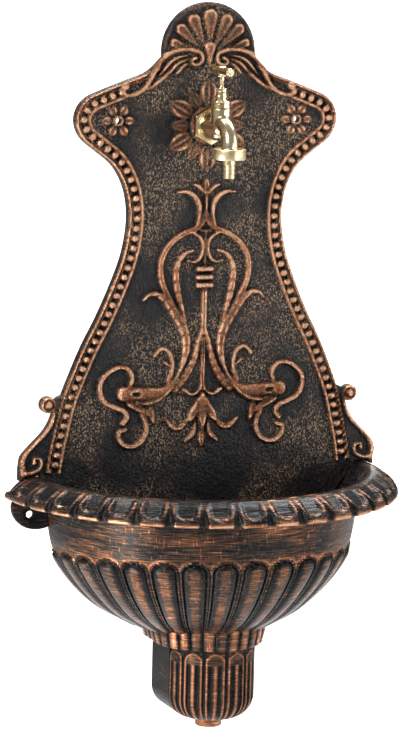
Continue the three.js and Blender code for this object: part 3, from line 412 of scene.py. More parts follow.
def makeBackPlate():
    x, d, h, rub_and_painted_light, depth, qx, qd = plateHeights()
    pitch = plate["pitch"]
    rows, half = x.shape
    holes = [(0, plate["tapDrop"], plate["tapHole"]), (*plate["rosette"], plate["screwHole"])]
    for cx, cd, radius in holes:
        away = np.hypot(x - cx, d - cd)
        closer = away - radius < depth
        depth = np.where(closer, away - radius, depth)
        scale = radius / np.maximum(away, 0.1)
        qx = np.where(closer, cx + (x - cx) * scale, qx)
        qd = np.where(closer, cd + (d - cd) * scale, qd)

    def place(i, j):
        side = np.where(i >= half - 1, 1, -1)
        k, j = np.abs(i - (half - 1)), rows - 1 - j
        out = plate["thickness"] + h[j, k]
        return np.stack([side * x[j, k], -out, crestTop - d[j, k]], 1), rub_and_painted_light[j, k]

    bm = wrapGrid(2 * (half - 1), rows - 1, place)
    gone = []
    for face in bm.faces:
        at = [(round((crestTop - v.co.z / mm) / pitch), round(abs(v.co.x) / mm / pitch))
              for v in face.verts]
        if sum(depth[j, k] for j, k in at) < 0:
            gone.append(face)
    bmesh.ops.delete(bm, geom=gone, context="FACES")
    rim = [e for e in bm.edges if e.is_boundary]
    for vert in {v for e in rim for v in e.verts}:
        j, k = round((crestTop - vert.co.z / mm) / pitch), round(abs(vert.co.x) / mm / pitch)
        side = 1 if vert.co.x >= 0 else -1
        vert.co.x, vert.co.z = side * qx[j, k] * mm, (crestTop - qd[j, k]) * mm
    wall = bmesh.ops.extrude_edge_only(bm, edges=rim)["geom"]
    tone_layer = bm.verts.layers.float["rub_and_painted_light"]
    for vert in (g for g in wall if isinstance(g, bmesh.types.BMVert)):
        vert.co.y, vert[tone_layer] = 0, 0.05
    fillFlat(bm, [e for e in bm.edges if e.is_boundary])
    rebate = crestTop - plate["rebateDrop"]
    for level in (rebate, rebate - 0.1):
        bmesh.ops.bisect_plane(bm, geom=bm.verts[:] + bm.edges[:] + bm.faces[:], dist=1e-7,
                               plane_co=(0, 0, level * mm), plane_no=(0, 0, 1))
    for vert in bm.verts:
        if vert.co.y > -1e-6 and vert.co.z < (rebate - 0.05) * mm:
            vert.co.y = -plate["rebate"] * mm
    return finishPiece(bm, "back_plate_carved", ["back_plate"], flatAngle=50)


basin = {
    "halfWidth": 198.0, "depth": 194.0, "crestDrop": 454.0, "wall": 6.26, "backWall": 3.2,
    "backDrop": 470.0, "mouthInset": 32.0, "tongues": 19, "tongueDepth": 3.2, "dartDepth": 4.2,
    "bodyHalf": 157.5, "bodyDepth": 163.5, "bodyTop": 478.0, "bodyHeight": 128.0, "gadroons": 16,
    "gadroonHeight": 3.4, "gadroonTop": 527.0, "gadroonRise": 12.0, "gadroonArch": 11.0,
    "drainRadius": 12.0, "drainOff": 45.0, "columns": 416,
    "tongueEnd": 14.5, "tongueShare": 0.66, "underRim": 12.6, "shareHeight": 133.0,
    "neckDrop": 460.0, "bandFoot": 504.0,
    "rim": [  # insets at the side and front, fall below the crest
        [27, 28, 0], [22.8, 24, 0.7], [18, 20, 2.4], [13, 14.5, 4.9], [8, 9.5, 8],
        [3.4, 3.8, 12.4], [0.3, 0.4, 16.8], [0, 0, 19], [0.9, 0.9, 21.2], [2.6, 2.6, 21.4],
        [6.5, 6.6, 17], [10, 10, 12.6], [15, 15.5, 9.8], [24, 23.5, 9.6], [33, 32, 14.5],
        [40.2, 30.4, 23], [41, 31, 26],
    ],
    "body": [  # shares of the half width, the depth and the height
        [1, 1, 0], [0.966, 0.97, 0.271], [0.955, 0.9615, 0.323], [0.931, 0.942, 0.406],
        [0.876, 0.893, 0.517], [0.784, 0.811, 0.655], [0.648, 0.688, 0.804], [0.419, 0.489, 0.9624],
    ],
}


def gadroon(turn, d):  # height and rub of the body's lobes at a turn about the bowl and a drop
    pitch = math.pi / basin["gadroons"]
    a = 2 * np.abs(turn / pitch - np.round(turn / pitch))
    top = basin["gadroonTop"] - basin["gadroonRise"] * np.maximum(0, np.cos(turn))
    above = np.maximum(0, 1 - (d - top) / basin["gadroonArch"])
    r = np.sqrt(a**2 + above**2)
    size = basin["gadroonHeight"]
    lobe = size * np.sqrt(np.maximum(0, 1 - (r / 0.72) ** 2))
    fillet = 1.9 * np.maximum(0, 1 - ((r - 0.88) / 0.1) ** 2) ** 0.7
    groove = -1.3 * np.maximum(0, 1 - np.abs(r - 0.745) / 0.06)
    out = np.maximum(lobe, fillet) + groove
    out = np.where(d < top - 1, 0, out)
    copper_tone = 0.42 * ease(r, 0.5, 0.2) - 0.08 + 0.42 * np.maximum(0, 1 - ((r - 0.88) / 0.06) ** 2)
    copper_tone = copper_tone - 0.8 * np.maximum(0, 1 - ((r - 0.66) / 0.2) ** 2)
    copper_tone = np.where(r > 1.0, 0.16 + 0.45 * np.exp(-((r - 1.04) / 0.2) ** 2), copper_tone)
    band = basin["bandFoot"]  # the plain band above the lobes
    copper_tone = np.where(d < band + 2, 0.2 - 0.25 * np.exp(-((d - band) / 1.2) ** 2), copper_tone)
    return out, copper_tone


def tongue(turn, fall):  # depth of the rim's hollow tongues and the darts between them, and their rub with a painted highlight on each tongue's lower inner edge
    pitch = math.pi / basin["tongues"]
    a = 2 * np.abs(turn / pitch - np.floor(turn / pitch) - 0.5)
    end = basin["tongueEnd"]
    rounding = np.clip((fall - end + 5.5) / 5.5, 0, 1)
    u = a / (basin["tongueShare"] * np.sqrt(np.maximum(0, 1 - rounding**2)) + 1e-3)
    start = ease(fall, 0.4, 2.6)
    panel = (fall < end) * start * ease(u, 1.0, 0.72)
    out = -basin["tongueDepth"] * panel * (0.35 + 0.65 * ease(fall, 1.5, 9.5))
    lip = np.exp(-((u - 1.16) / 0.15) ** 2) * start * (fall < end + 0.1)
    out = out + 0.9 * lip
    dartHalf = 0.06 + 0.3 * ease(fall, 1.0, 17)
    dart = ease((1 - a) / dartHalf, 1.0, 0.35) * ease(fall, 1.5, 5) * ease(fall, 24, 21.2)
    out = out - basin["dartDepth"] * dart * (0.3 + 0.7 * ease(fall, 4, 17))
    copper_tone = 0.08 + 0.36 * lip * ease(fall, end, 8) - 0.35 * panel - 0.8 * dart
    # painted highlight: a bright streak along each hollow tongue's lower inner edge, standing in for a
    # lamp's glint
    painted_highlight = np.exp(-((fall - 13.2) / 0.8) ** 2) * (a < 0.36)
    copper_tone = copper_tone + 0.7 * painted_highlight + 0.85 * np.exp(-((fall - 19.8) / 1.9) ** 2) * (1 - dart)
    return out, copper_tone


def makeBasin():
    b = basin
    columns = b["columns"]
    rim = smoothCurve(b["rim"], 1.15)
    rim = np.stack([b["halfWidth"] - rim[:, 0], b["depth"] - rim[:, 1], b["crestDrop"] + rim[:, 2]], 1)
    share = smoothCurve([[s * 100, f * 100, g * b["shareHeight"]] for s, f, g in b["body"]], 1.5)
    body = np.stack([share[:, 0] / 100 * b["bodyHalf"], share[:, 1] / 100 * b["bodyDepth"],
                     b["bodyTop"] + share[:, 2]], 1)
    body = body[body[:, 2] > b["bodyTop"] + 2.5]
    coarse = body[::3] if (len(body) - 1) % 3 == 0 else np.vstack([body[::3], body[-1:]])
    way = np.gradient(coarse, axis=0)
    long = np.hypot(way[:, 0], way[:, 2])[:, None]
    inner = coarse + b["wall"] * np.stack([-way[:, 2], -way[:, 2], way[:, 0]], 1) / long
    inner = inner[inner[:, 2] > b["bodyTop"]]
    inner[-1, 2] = b["bodyTop"] + b["bodyHeight"] - b["wall"]
    mouth = [b["halfWidth"] - b["mouthInset"], b["depth"] - b["mouthInset"]]
    lip = [[mouth[0] + k, mouth[1] + k, b["crestDrop"] + f] for k, f in ((3.5, 0), (1, 0.5), (0, 1.8))]
    first = inner[0]
    neck = [[mouth[0] + (first[0] - mouth[0]) * t, mouth[1] + (first[1] - mouth[1]) * t, z]
            for t, z in ((0.15, b["neckDrop"]), (0.6, b["backDrop"]), (0.6, b["backDrop"]))]
    inner = np.vstack([lip, neck, inner])
    rings = np.vstack([rim, body, [body[-1]] * 2, inner[::-1]])
    # kinds of row: 1 rim, 2 outside, 3 and 4 the drain's bore, 6 inside, 5 mouth and lip
    kinds = np.array([1] * len(rim) + [2] * len(body) + [3, 4] + [6] * (len(inner) - 5) + [5] * 5)
    rows = len(rings)
    falls = rings[:, 2] - b["crestDrop"]
    floorDrop = b["bodyTop"] + b["bodyHeight"]
    rimEnd = np.abs(falls[:len(rim)] - b["underRim"])
    rimEnd[:12] += 99  # not the rise on its top
    rimEnd = np.argmin(rimEnd)

    def place(i, j):
        turn = -math.pi / 2 + math.pi * i / columns
        j = np.where(j == rows, 0, j)
        half, deep, d = rings[j, 0], rings[j, 1], rings[j, 2]
        kind = kinds[j]
        push, copper_tone = np.zeros(len(i)), np.full(len(i), 0.05)
        for chosen, (rise, rub_and_painted_light) in (((kind == 1) & (j < rimEnd), tongue(turn, falls[j])),
                                    (kind == 2, gadroon(turn, d))):
            push, copper_tone = np.where(chosen, rise, push), np.where(chosen, rub_and_painted_light, copper_tone)
        push = push * np.where(kind == 2, ease(floorDrop - d, 0.0, 2.5), 1)
        px, off = (half + push) * np.sin(turn), (deep + push) * np.cos(turn)
        off = np.where(kind == 6, np.maximum(off, b["backWall"]), off)
        drain = (kind == 3) | (kind == 4)
        a = 2 * math.pi * i / columns
        px = np.where(drain, -b["drainRadius"] * np.sin(a), px)
        off = np.where(drain, b["drainOff"] - b["drainRadius"] * np.cos(a), off)
        d = np.where(kind == 4, floorDrop - b["wall"], d)
        return np.stack([px, -off, crestTop - d], 1), copper_tone

    bm = wrapGrid(columns, rows, place)
    bmesh.ops.remove_doubles(bm, verts=bm.verts, dist=2e-6)
    backPoint = b["drainOff"] - b["drainRadius"]
    for half, off, d in ((body[-1][0], 0, floorDrop),
                         (inner[-1][0], b["backWall"], floorDrop - b["wall"])):
        ends = [openEnd(bm, s * half, off, d) for s in (1, -1)]
        bm.faces.new(ends + [openEnd(bm, 0, backPoint, d)])
    side = mouth[0] + (first[0] - mouth[0]) * 0.6
    near = [openEnd(bm, s * side, b["backWall"], b["backDrop"]) for s in (1, -1)]
    far = [openEnd(bm, s * side, 0, b["backDrop"]) for s in (1, -1)]
    bm.faces.new([near[0], near[1], far[1], far[0]])
    for level in (b["backWall"], 0):
        rim = [e for e in bm.edges if e.is_boundary]
        fillFlat(bm, [e for e in rim if all(abs(v.co.y + level * mm) < 2e-5 for v in e.verts)])
    print("basin's open edges:", sum(e.is_boundary for e in bm.edges))
    return finishPiece(bm, "basin_bowl", ["basin"], flatAngle=55)


# Plan of the collar and the cover at a share of its run: across, off the wall before the bend,
# and the bend's angle
def roundFront(halfWidth, straight, share):
    arc = math.pi * halfWidth
    run = share * (2 * straight + arc)
    angle = np.clip((run - straight) / halfWidth, 0, math.pi)
    leg = np.where(run > straight + arc, 2 * straight + arc - run, np.minimum(run, straight))
    return halfWidth * np.cos(angle), leg, angle


collar = {
    "half": 54.0, "straight": 37.0, "top": 594.0, "sideTop": 601.5, "foot": 618.5, "ribs": 20,
    "ribHeight": 1.9, "flare": 4.0, "wall": 6.0, "columns": 400,
}


def makeCollar():
    c = collar
    rows = np.array([
        [-1.6, c["top"]], [-0.5, c["top"] + 0.2], [0, c["top"] + 1.2],
        [0.15, (c["top"] + c["foot"]) / 2], [0, c["foot"] - 1.4], [-0.5, c["foot"] - 0.4],
        [-1.6, c["foot"]], [-c["wall"], c["foot"]], [-c["wall"], c["top"]]])
    count = len(rows)
    outside = count - 2

    def place(i, j):
        j = np.where(j == count, 0, j)
        share = i / c["columns"]
        px, leg, angle = roundFront(c["half"], c["straight"], share)
        off = leg + c["half"] * np.sin(angle)
        phase = 2 * np.abs(share * c["ribs"] - np.floor(share * c["ribs"]) - 0.5)
        ribbed = np.sqrt(np.maximum(0, 1 - (phase / 0.98) ** 2)) - 1
        rise = (c["foot"] - rows[j, 1]) / (c["foot"] - c["top"])
        push = rows[j, 0] + np.where(j < outside, c["ribHeight"] * ribbed + c["flare"] * rise, 0)
        patch = 0.2 * np.sin(2.4 * np.floor(share * c["ribs"]))
        copper_tone = np.where(j < outside, 0.58 + patch - 1.5 * phase**3, 0)
        px, off = px + push * np.cos(angle), off + push * np.sin(angle)
        off = np.where(j >= outside, np.maximum(off, c["wall"]), off)
        lower = (c["sideTop"] - c["top"]) * ease(off, 78, 55)  # the sides stay under the bowl's floor
        return np.stack([px, -off, crestTop - rows[j, 1] - lower * rise], 1), copper_tone

    bm = wrapGrid(c["columns"], count, place)
    bmesh.ops.remove_doubles(bm, verts=bm.verts, dist=2e-6)
    bmesh.ops.holes_fill(bm, edges=[e for e in bm.edges if e.is_boundary], sides=0)
    return finishPiece(bm, "basin_collar", [], flatAngle=55)


ears = {
    "x": 173.5, "drop": 491.5, "thickness": 5.0, "hole": 3.5, "steps": 72,
    "plan": [  # out from the screw hole, and down
        [-27, -14], [-10, -15], [8, -15], [17, -13], [18.5, -8], [17, 0], [12, 7.5], [4, 13],
        [-7, 15.2], [-18, 13.5], [-27, 8],
    ],
}


def makeEar(side):
    e = ears
    plan = smoothCurve(e["plan"], 1.5)
    loop = spaced(np.vstack([plan, plan[:1]]), e["steps"] + 1)
    t = e["thickness"]
    rows = np.array([  # 1 edge or 0 hole, outwards, off the wall
        [1, 0, 0], [1, 0, t - 1.8], [1, -0.6, t - 0.5], [1, -1.8, t], [0, 3.2, t], [0, 2.0, t - 0.8],
        [0, 0.4, t - 1.2], [0, 0, t - 1.6], [0, 0, 0]], float)
    count = len(rows)

    def place(i, j):
        j = np.where(j == count, 0, j)
        outer = rows[j, 0:1] == 1
        away = np.linalg.norm(loop[i], axis=1)[:, None]
        unit = loop[i] / away
        at = np.where(outer, unit * (away + rows[j, 1:2]), unit * (e["hole"] + rows[j, 1:2]))
        x = side * (e["x"] + at[:, 0])
        copper_tone = np.where(outer[:, 0] & (rows[j, 2] > t - 1), -0.05, -0.25)
        return np.stack([x, -rows[j, 2], crestTop - (e["drop"] + at[:, 1])], 1), copper_tone

    bm = wrapGrid(e["steps"], count, place)
    name = "basin_ear_right" if side > 0 else "basin_ear_left"
    return finishPiece(bm, name, [], flatAngle=40)


cover = {
    "half": 43.0, "straight": 47.0, "top": 618.8, "height": 72.7, "round": 23.0, "wall": 4.0,
    "panels": 6, "fluteDepth": 1.8, "arch": 10.0, "fluteTop": 14.0, "outlet": 13.0, "bore": 8.0,
    "outletHeight": 10.0, "outletOff": 45.0, "columns": 420,
}


def coverFlutes(angle, drop):  # depth and rub of the cover's arched panels and their lanes
    c = cover
    f = angle / (math.pi / c["panels"])
    f = f - np.floor(np.clip(f, 0, c["panels"] - 1e-6))
    side = (angle <= 1e-6) | (angle >= math.pi - 1e-6)
    fall = drop - c["top"]
    m = np.abs(f - 0.5) * 2
    valley = np.maximum(0, 1 - ((1 - m) / 0.17) ** 2) ** 0.7
    above = np.maximum(0, 1 - (fall - 1.5) / c["arch"])
    r = np.sqrt((m / 0.9) ** 2 + above**2)
    corner = ease(r, 0.92, 1.06) * (fall < c["arch"] + 1.5)
    lane = np.abs(m - 0.42) / 0.2
    up = np.maximum(0, (c["fluteTop"] + 3 - fall) / 4)
    groove = np.maximum(0, 1 - lane**2 - up**2) ** 0.5 * (fall > c["fluteTop"] - 1)
    push = -c["fluteDepth"] * np.maximum(np.maximum(valley, corner * 0.8), groove)
    middle = np.exp(-(m / 0.16) ** 2) * (fall > c["fluteTop"])
    ridge = np.maximum(np.exp(-((m - 0.76) / 0.11) ** 2), middle)
    archLine = np.exp(-((r - 0.84) / 0.1) ** 2) * (fall < c["arch"] + 2)
    copper_tone = 0.72 * np.maximum(ridge * (r < 1), archLine) - 0.6 * groove - 0.6 * valley
    copper_tone = np.where((m < 0.66) & (fall < c["fluteTop"]) & (r < 0.74), 0.2, copper_tone)
    fade = ease(c["height"] - fall, 0.0, 3.0) * ease(fall, 0.2, 1.5)
    return np.where(side, 0, push * fade), np.where(side, -0.12, copper_tone)


def makeCover():
    c = cover
    foot = c["top"] + c["height"]
    outer = [[-0.5, c["top"]], [0, c["top"] + 0.6]]
    outer += [[0, z] for z in np.arange(c["top"] + 1.7, foot - c["round"], 1.15)]
    outer += [[-c["round"] * (1 - math.cos(a)), foot - c["round"] * (1 - math.sin(a))]
              for a in np.linspace(0.03, math.pi / 2 - 0.02, 26)]
    shell = c["wall"] + c["fluteDepth"]
    inner = [[-shell, c["top"]], [-shell, foot - c["round"]]]
    within = c["round"] - c["wall"]
    inner += [[-shell - within * (1 - math.cos(a)), foot - c["round"] + within * math.sin(a)]
              for a in np.linspace(0.2, math.pi / 2, 7)]
    end = foot + c["outletHeight"]
    boss = [[c["outlet"], foot], [c["outlet"], end - 0.7], [c["outlet"] - 0.7, end],
            [c["bore"] + 0.7, end], [c["bore"], end - 0.7], [c["bore"], foot - c["wall"]]]
    rows = np.array(outer + boss + inner[::-1], float)
    onBoss = np.array([False] * len(outer) + [True] * len(boss) + [False] * len(inner))
    carved = np.arange(len(rows)) < len(outer)
    count = len(rows)

    def place(i, j):
        j = np.where(j == count, 0, j)
        share = i / c["columns"]
        half = np.where(onBoss[j], c["half"], c["half"] + rows[j, 0])
        _, leg, angle = roundFront(c["half"], c["straight"], share)
        push, copper_tone = coverFlutes(angle, rows[j, 1])
        push, copper_tone = np.where(carved[j], push, 0), np.where(carved[j], copper_tone, 0.1)
        px = (half + push) * np.cos(angle)
        off = leg + (half + push) * np.sin(angle)
        turn = 2 * math.pi * share
        px = np.where(onBoss[j], rows[j, 0] * np.sin(turn), px)
        off = np.where(onBoss[j], c["outletOff"] - rows[j, 0] * np.cos(turn), off)
        copper_tone = np.where(onBoss[j], 0.55, copper_tone)
        return np.stack([px, -off, crestTop - rows[j, 1]], 1), copper_tone

    bm = wrapGrid(c["columns"], count, place)
    bmesh.ops.remove_doubles(bm, verts=bm.verts, dist=2e-6)
    last, floor = rows[len(outer) - 1], rows[len(outer) + len(boss)]
    for row, radius, d in ((last, c["outlet"], foot), (floor, c["bore"], foot - c["wall"])):
        ends = [openEnd(bm, s * (c["half"] + row[0]), 0, row[1]) for s in (1, -1)]
        bm.faces.new(ends + [openEnd(bm, 0, c["outletOff"] - radius, d)])
    fillFlat(bm, [e for e in bm.edges if e.is_boundary])
    print("cover's open edges:", sum(e.is_boundary for e in bm.edges))
    return finishPiece(bm, "drain_cover_fluted", ["drain_cover"], flatAngle=55)


tap = {
    "drop": plate["tapDrop"], "seat": 9.8, "hex": 32.5, "hexThick": 8.0, "stemOff": 40.0,
    "spoutOff": 64.0, "barrel": 13.5, "taper": 2.5, "tail": 10.3, "bore": 5.0, "chamber": 9.8,
    "chamberHeight": 19.0, "flange": 9.4, "flangeThick": 6.5, "neck": 5.2, "neckLong": 8.5,
    "gland": 6.0, "glandLong": 3.5, "spindle": 2.4, "spindleFoot": 6.0, "spindleShown": 10.7,
    "collarRadius": 14.6, "thread": 0.9, "barRadius": 4.0, "barHalf": 22.0, "flatAngle": 28,
    "hub": 4.6, "hubHigh": 10.1, "spoutRadius": 8.0, "spoutEnd": 12.3, "spoutEndLong": 6.0,
    "spoutFall": 24.0, "nut": 15.8, "nutHigh": 10.3, "hose": 6.1, "hoseBore": 4.4, "hoseLong": 18.0,
    "hoseFlange": 2.0, "gap": 0.3, "spoutSides": 40,
}


# Spins a profile of radius and drop about an upright axis, or of radius and distance off the
# wall about the axis through the wall
def turned(bm, profile, off, upright=True, sides=56):
    verts = []
    for radius, along in profile:
        co = (radius, -off, crestTop - along) if upright else (radius, -along, crestTop - tap["drop"])
        verts.append(bm.verts.new(Vector(co) * mm))
    edges = [bm.edges.new(pair) for pair in zip(verts, verts[1:])]
    centre = Vector((0, -off if upright else 0, crestTop - tap["drop"])) * mm
    axis = (0, 0, 1) if upright else (0, 1, 0)
    bmesh.ops.spin(bm, geom=verts + edges, cent=centre, axis=axis, dvec=(0, 0, 0),
                   angle=2 * math.pi, steps=sides, use_merge=True, use_duplicate=False)
    bmesh.ops.remove_doubles(bm, verts=bm.verts, dist=1e-6)


def chamfered(radius, near, far, cut=0.5, bore=0.0):  # a profile with small chamfers
    part = 0.3 * cut
    return [[bore, near], [radius - cut, near], [radius - part, near + part], [radius, near + cut],
            [radius, far - cut], [radius - part, far - part], [radius - cut, far], [bore, far]] + (
                [[bore, near]] if bore else [])


def bar(bm, sides, radius, near, far, drop):  # a straight bar through the wall's direction
    made = bmesh.ops.create_cone(bm, cap_ends=True, segments=sides, radius1=radius * mm,
                                 radius2=radius * mm, depth=(far - near) * mm)
    middle = Vector((0, -(near + far) / 2, crestTop - drop)) * mm
    bmesh.ops.transform(bm, verts=made["verts"], matrix=Matrix.Translation(middle)
                        @ Matrix.Rotation(math.pi / 2, 4, "X"))
    return list({e for v in made["verts"] for e in v.link_edges})


def bevelled(bm, edges, cut, segments):
    bmesh.ops.bevel(bm, geom=edges, offset=cut * mm, affect="EDGES", segments=segments, profile=0.5,
                    material=-1)


def remeshed(bm, name, voxel, rounds):  # joins overlapping shapes into one smooth casting
    mesh = bpy.data.meshes.new(name)
    bmesh.ops.recalc_face_normals(bm, faces=bm.faces)
    bm.to_mesh(mesh)
    bm.free()
    holder = bpy.data.objects.new(name, mesh)
    bpy.context.scene.collection.objects.link(holder)
    remesh = holder.modifiers.new("remesh", "REMESH")
    remesh.mode, remesh.voxel_size = "VOXEL", voxel * mm
    smooth = holder.modifiers.new("smooth", "SMOOTH")
    smooth.iterations, smooth.factor = rounds, 0.5
    graph = bpy.context.evaluated_depsgraph_get()
    done = bpy.data.meshes.new_from_object(holder.evaluated_get(graph))
    bpy.data.objects.remove(holder)
    bpy.data.meshes.remove(mesh)
    out = bmesh.new()
    out.from_mesh(done)
    bpy.data.meshes.remove(done)
    return out


def makeTap():
    t = tap
    pieces = []
    flat = t["flatAngle"]
    centre = t["drop"]
    seat, hexEnd = t["seat"], t["seat"] + t["hexThick"]
    bm = bmesh.new()
    turned(bm, [[0, 13], [12.2, 13], [13.0, 13.6], [t["barrel"], 19.5], [t["barrel"] - 0.4, 23],
                [12.2, 30], [t["barrel"] - t["taper"], 38], [10.4, 44], [8.6, 48.6], [5.5, 51.3],
                [0, 52.2]], 0, False)
    chamberTop = centre - t["chamberHeight"]
    turned(bm, [[0, chamberTop], [9.3, chamberTop], [t["chamber"], chamberTop + 0.5],
                [t["chamber"], centre + 4], [9.2, centre + 8.5], [6.5, centre + 11.6],
                [0, centre + 12.6]], t["stemOff"])
    bend = [[36, -6], [46, -4.6], [54.5, -1.2], [61, 5], [64, 12], [64, 21]]  # off the wall, down
    path = smoothCurve([[off, centre + down] for off, down in bend], 1.2)
    way = np.gradient(path, axis=0)
    way = way / np.linalg.norm(way, axis=1)[:, None]
    steps = np.arange(len(path))
    rows = np.concatenate([[0], steps, [len(path) - 1]])
    size = np.concatenate([[0], t["spoutRadius"] + 0.5 * np.exp(-((steps - 4) / 5) ** 2), [0]])

    def place(i, j):
        a = 2 * math.pi * i / t["spoutSides"]
        k = rows[j]
        off = path[k, 0] + size[j] * np.sin(a) * -way[k, 1]
        d = path[k, 1] + size[j] * np.sin(a) * way[k, 0]
        return np.stack([size[j] * np.cos(a), -off, crestTop - d], 1), np.zeros(len(i))

    tube = wrapGrid(t["spoutSides"], len(rows) - 1, place)
    bmesh.ops.remove_doubles(tube, verts=tube.verts, dist=1e-5)
    mesh = bpy.data.meshes.new("tube")
    tube.to_mesh(mesh)
    tube.free()
    bm.from_mesh(mesh)
    bpy.data.meshes.remove(mesh)
    end = centre + t["spoutFall"]
    turned(bm, chamfered(t["spoutEnd"], end - t["spoutEndLong"], end), t["spoutOff"])
    bm = remeshed(bm, "tap_body_rough", 0.42, 5)
    pieces.append(finishPiece(bm, "tap_body_cast", ["tap_body"]))

    bm = bmesh.new()
    turned(bm, chamfered(t["tail"], t["gap"], 12, 0.8, t["bore"]), 0, False)
    bevelled(bm, bar(bm, 6, t["hex"] / math.sqrt(3), seat, hexEnd, centre), 1.0, 3)
    turned(bm, chamfered(t["collarRadius"], hexEnd - 1, hexEnd + 0.9), 0, False)
    pieces.append(finishPiece(bm, "tap_hexagon", [], flatAngle=flat))

    low = chamberTop - t["gap"]
    neckFoot = low - t["flangeThick"]
    neckTop = neckFoot - t["neckLong"]
    clear = t["spindle"] + t["gap"]
    foot = neckTop + t["spindleFoot"]
    bm = bmesh.new()
    f, n = t["flange"], t["neck"]
    turned(bm, [[clear, foot], [clear, neckTop], [n - 0.5, neckTop], [n, neckTop + 0.5],
                [n, neckTop + 3], [n + 0.7, neckTop + 3.6], [n + 0.7, neckTop + 4.6],
                [n, neckTop + 5.2], [n, neckFoot - 1.2], [n + 1.0, neckFoot - 0.2],
                [f - 0.8, neckFoot], [f, neckFoot + 0.8], [f, neckFoot + 2.4],
                [f - 0.5, neckFoot + 2.8], [f - 0.5, neckFoot + 3.3], [f, neckFoot + 3.7],
                [f, low - 0.6], [f - 0.6, low], [0, low], [0, foot + t["gap"]],
                [clear, foot + t["gap"]], [clear, foot]], t["stemOff"])
    pieces.append(finishPiece(bm, "tap_bonnet_turned", ["tap_bonnet"], flatAngle=flat))

    glandFoot = neckTop - t["gap"]
    glandTop = glandFoot - t["glandLong"]
    bm = bmesh.new()
    turned(bm, chamfered(t["gland"] * 0.93, glandTop, glandFoot, 0.6, clear), t["stemOff"], sides=6)
    bevelled(bm, bm.edges[:], 0.18, 2)
    pieces.append(finishPiece(bm, "tap_gland_nut_cut", ["tap_gland_nut"], flatAngle=flat))

    hubFoot = glandTop - t["spindleShown"]
    r = t["spindle"]
    bm = bmesh.new()
    profile = [[0, hubFoot + t["gap"]], [r, hubFoot + t["gap"]]]
    for z in np.arange(hubFoot + 3.0, glandTop - 1.5, t["thread"]):
        profile += [[r, z], [r - 0.28, z + t["thread"] / 2]]
    profile += [[r, glandTop - 1.0], [r, foot - 0.4], [r - 0.4, foot], [0, foot]]
    turned(bm, profile, t["stemOff"], sides=32)
    pieces.append(finishPiece(bm, "tap_spindle_turned", ["tap_spindle"], "handle", flat))

    hubTop = hubFoot - t["hubHigh"]
    level = hubTop + t["hub"]
    bm = bmesh.new()
    turned(bm, chamfered(t["hub"], hubTop, hubFoot, 0.8), t["stemOff"], sides=40)
    near, far = t["stemOff"] - t["barHalf"], t["stemOff"] + t["barHalf"]
    edges = bar(bm, 48, t["barRadius"], near, far, level)
    caps = [e for e in edges if abs(e.verts[0].co.y - e.verts[1].co.y) < 1e-6]
    bevelled(bm, caps, 0.9, 4)
    bm = remeshed(bm, "tap_handle_rough", 0.25, 4)
    pieces.append(finishPiece(bm, "tap_handle_bar", ["tap_handle"], "handle"))

    nutTop = end - t["spoutEndLong"] - t["gap"]
    nutFoot = nutTop + t["nutHigh"]
    flangeTop = end + t["gap"]
    flangeFoot = flangeTop + t["hoseFlange"]
    inner, opening, seatDrop = t["spoutEnd"] + t["gap"], t["hose"] + t["gap"], flangeFoot + t["gap"]
    n = t["nut"]
    bm = bmesh.new()
    turned(bm, [[inner, nutTop], [n - 0.9, nutTop], [n - 0.25, nutTop + 0.25], [n, nutTop + 0.9],
                [n, nutTop + 2.2], [n - 0.35, nutTop + 2.5], [n - 0.35, nutTop + 2.9],
                [n, nutTop + 3.2], [n, nutFoot - 1.4], [n - 0.4, nutFoot - 0.5], [n - 1.3, nutFoot],
                [opening, nutFoot], [opening, seatDrop], [inner, seatDrop], [inner, nutTop]],
           t["spoutOff"], sides=96)
    pieces.append(finishPiece(bm, "tap_coupling_nut_turned", ["tap_coupling_nut"],
                              flatAngle=flat))

    tailFoot = nutFoot + t["hoseLong"]
    b, r, lip = t["hoseBore"], t["hose"], t["spoutEnd"] - 1
    bm = bmesh.new()
    turned(bm, [[b, flangeTop], [lip - 0.4, flangeTop], [lip, flangeTop + 0.4],
                [lip, flangeFoot - 0.3], [lip - 0.3, flangeFoot], [r, flangeFoot],
                [r, nutFoot + 4.5], [r - 0.7, nutFoot + 4.9], [r - 0.05, nutFoot + 9.0],
                [r - 0.7, nutFoot + 9.4], [r - 0.05, nutFoot + 13.4], [r - 0.7, nutFoot + 13.8],
                [r - 0.25, tailFoot - 0.6], [r - 0.8, tailFoot], [b + 0.3, tailFoot],
                [b, tailFoot - 0.4], [b, flangeTop]], t["spoutOff"])
    pieces.append(finishPiece(bm, "tap_hose_tail_turned", ["tap_hose_tail"], flatAngle=flat))
    return pieces


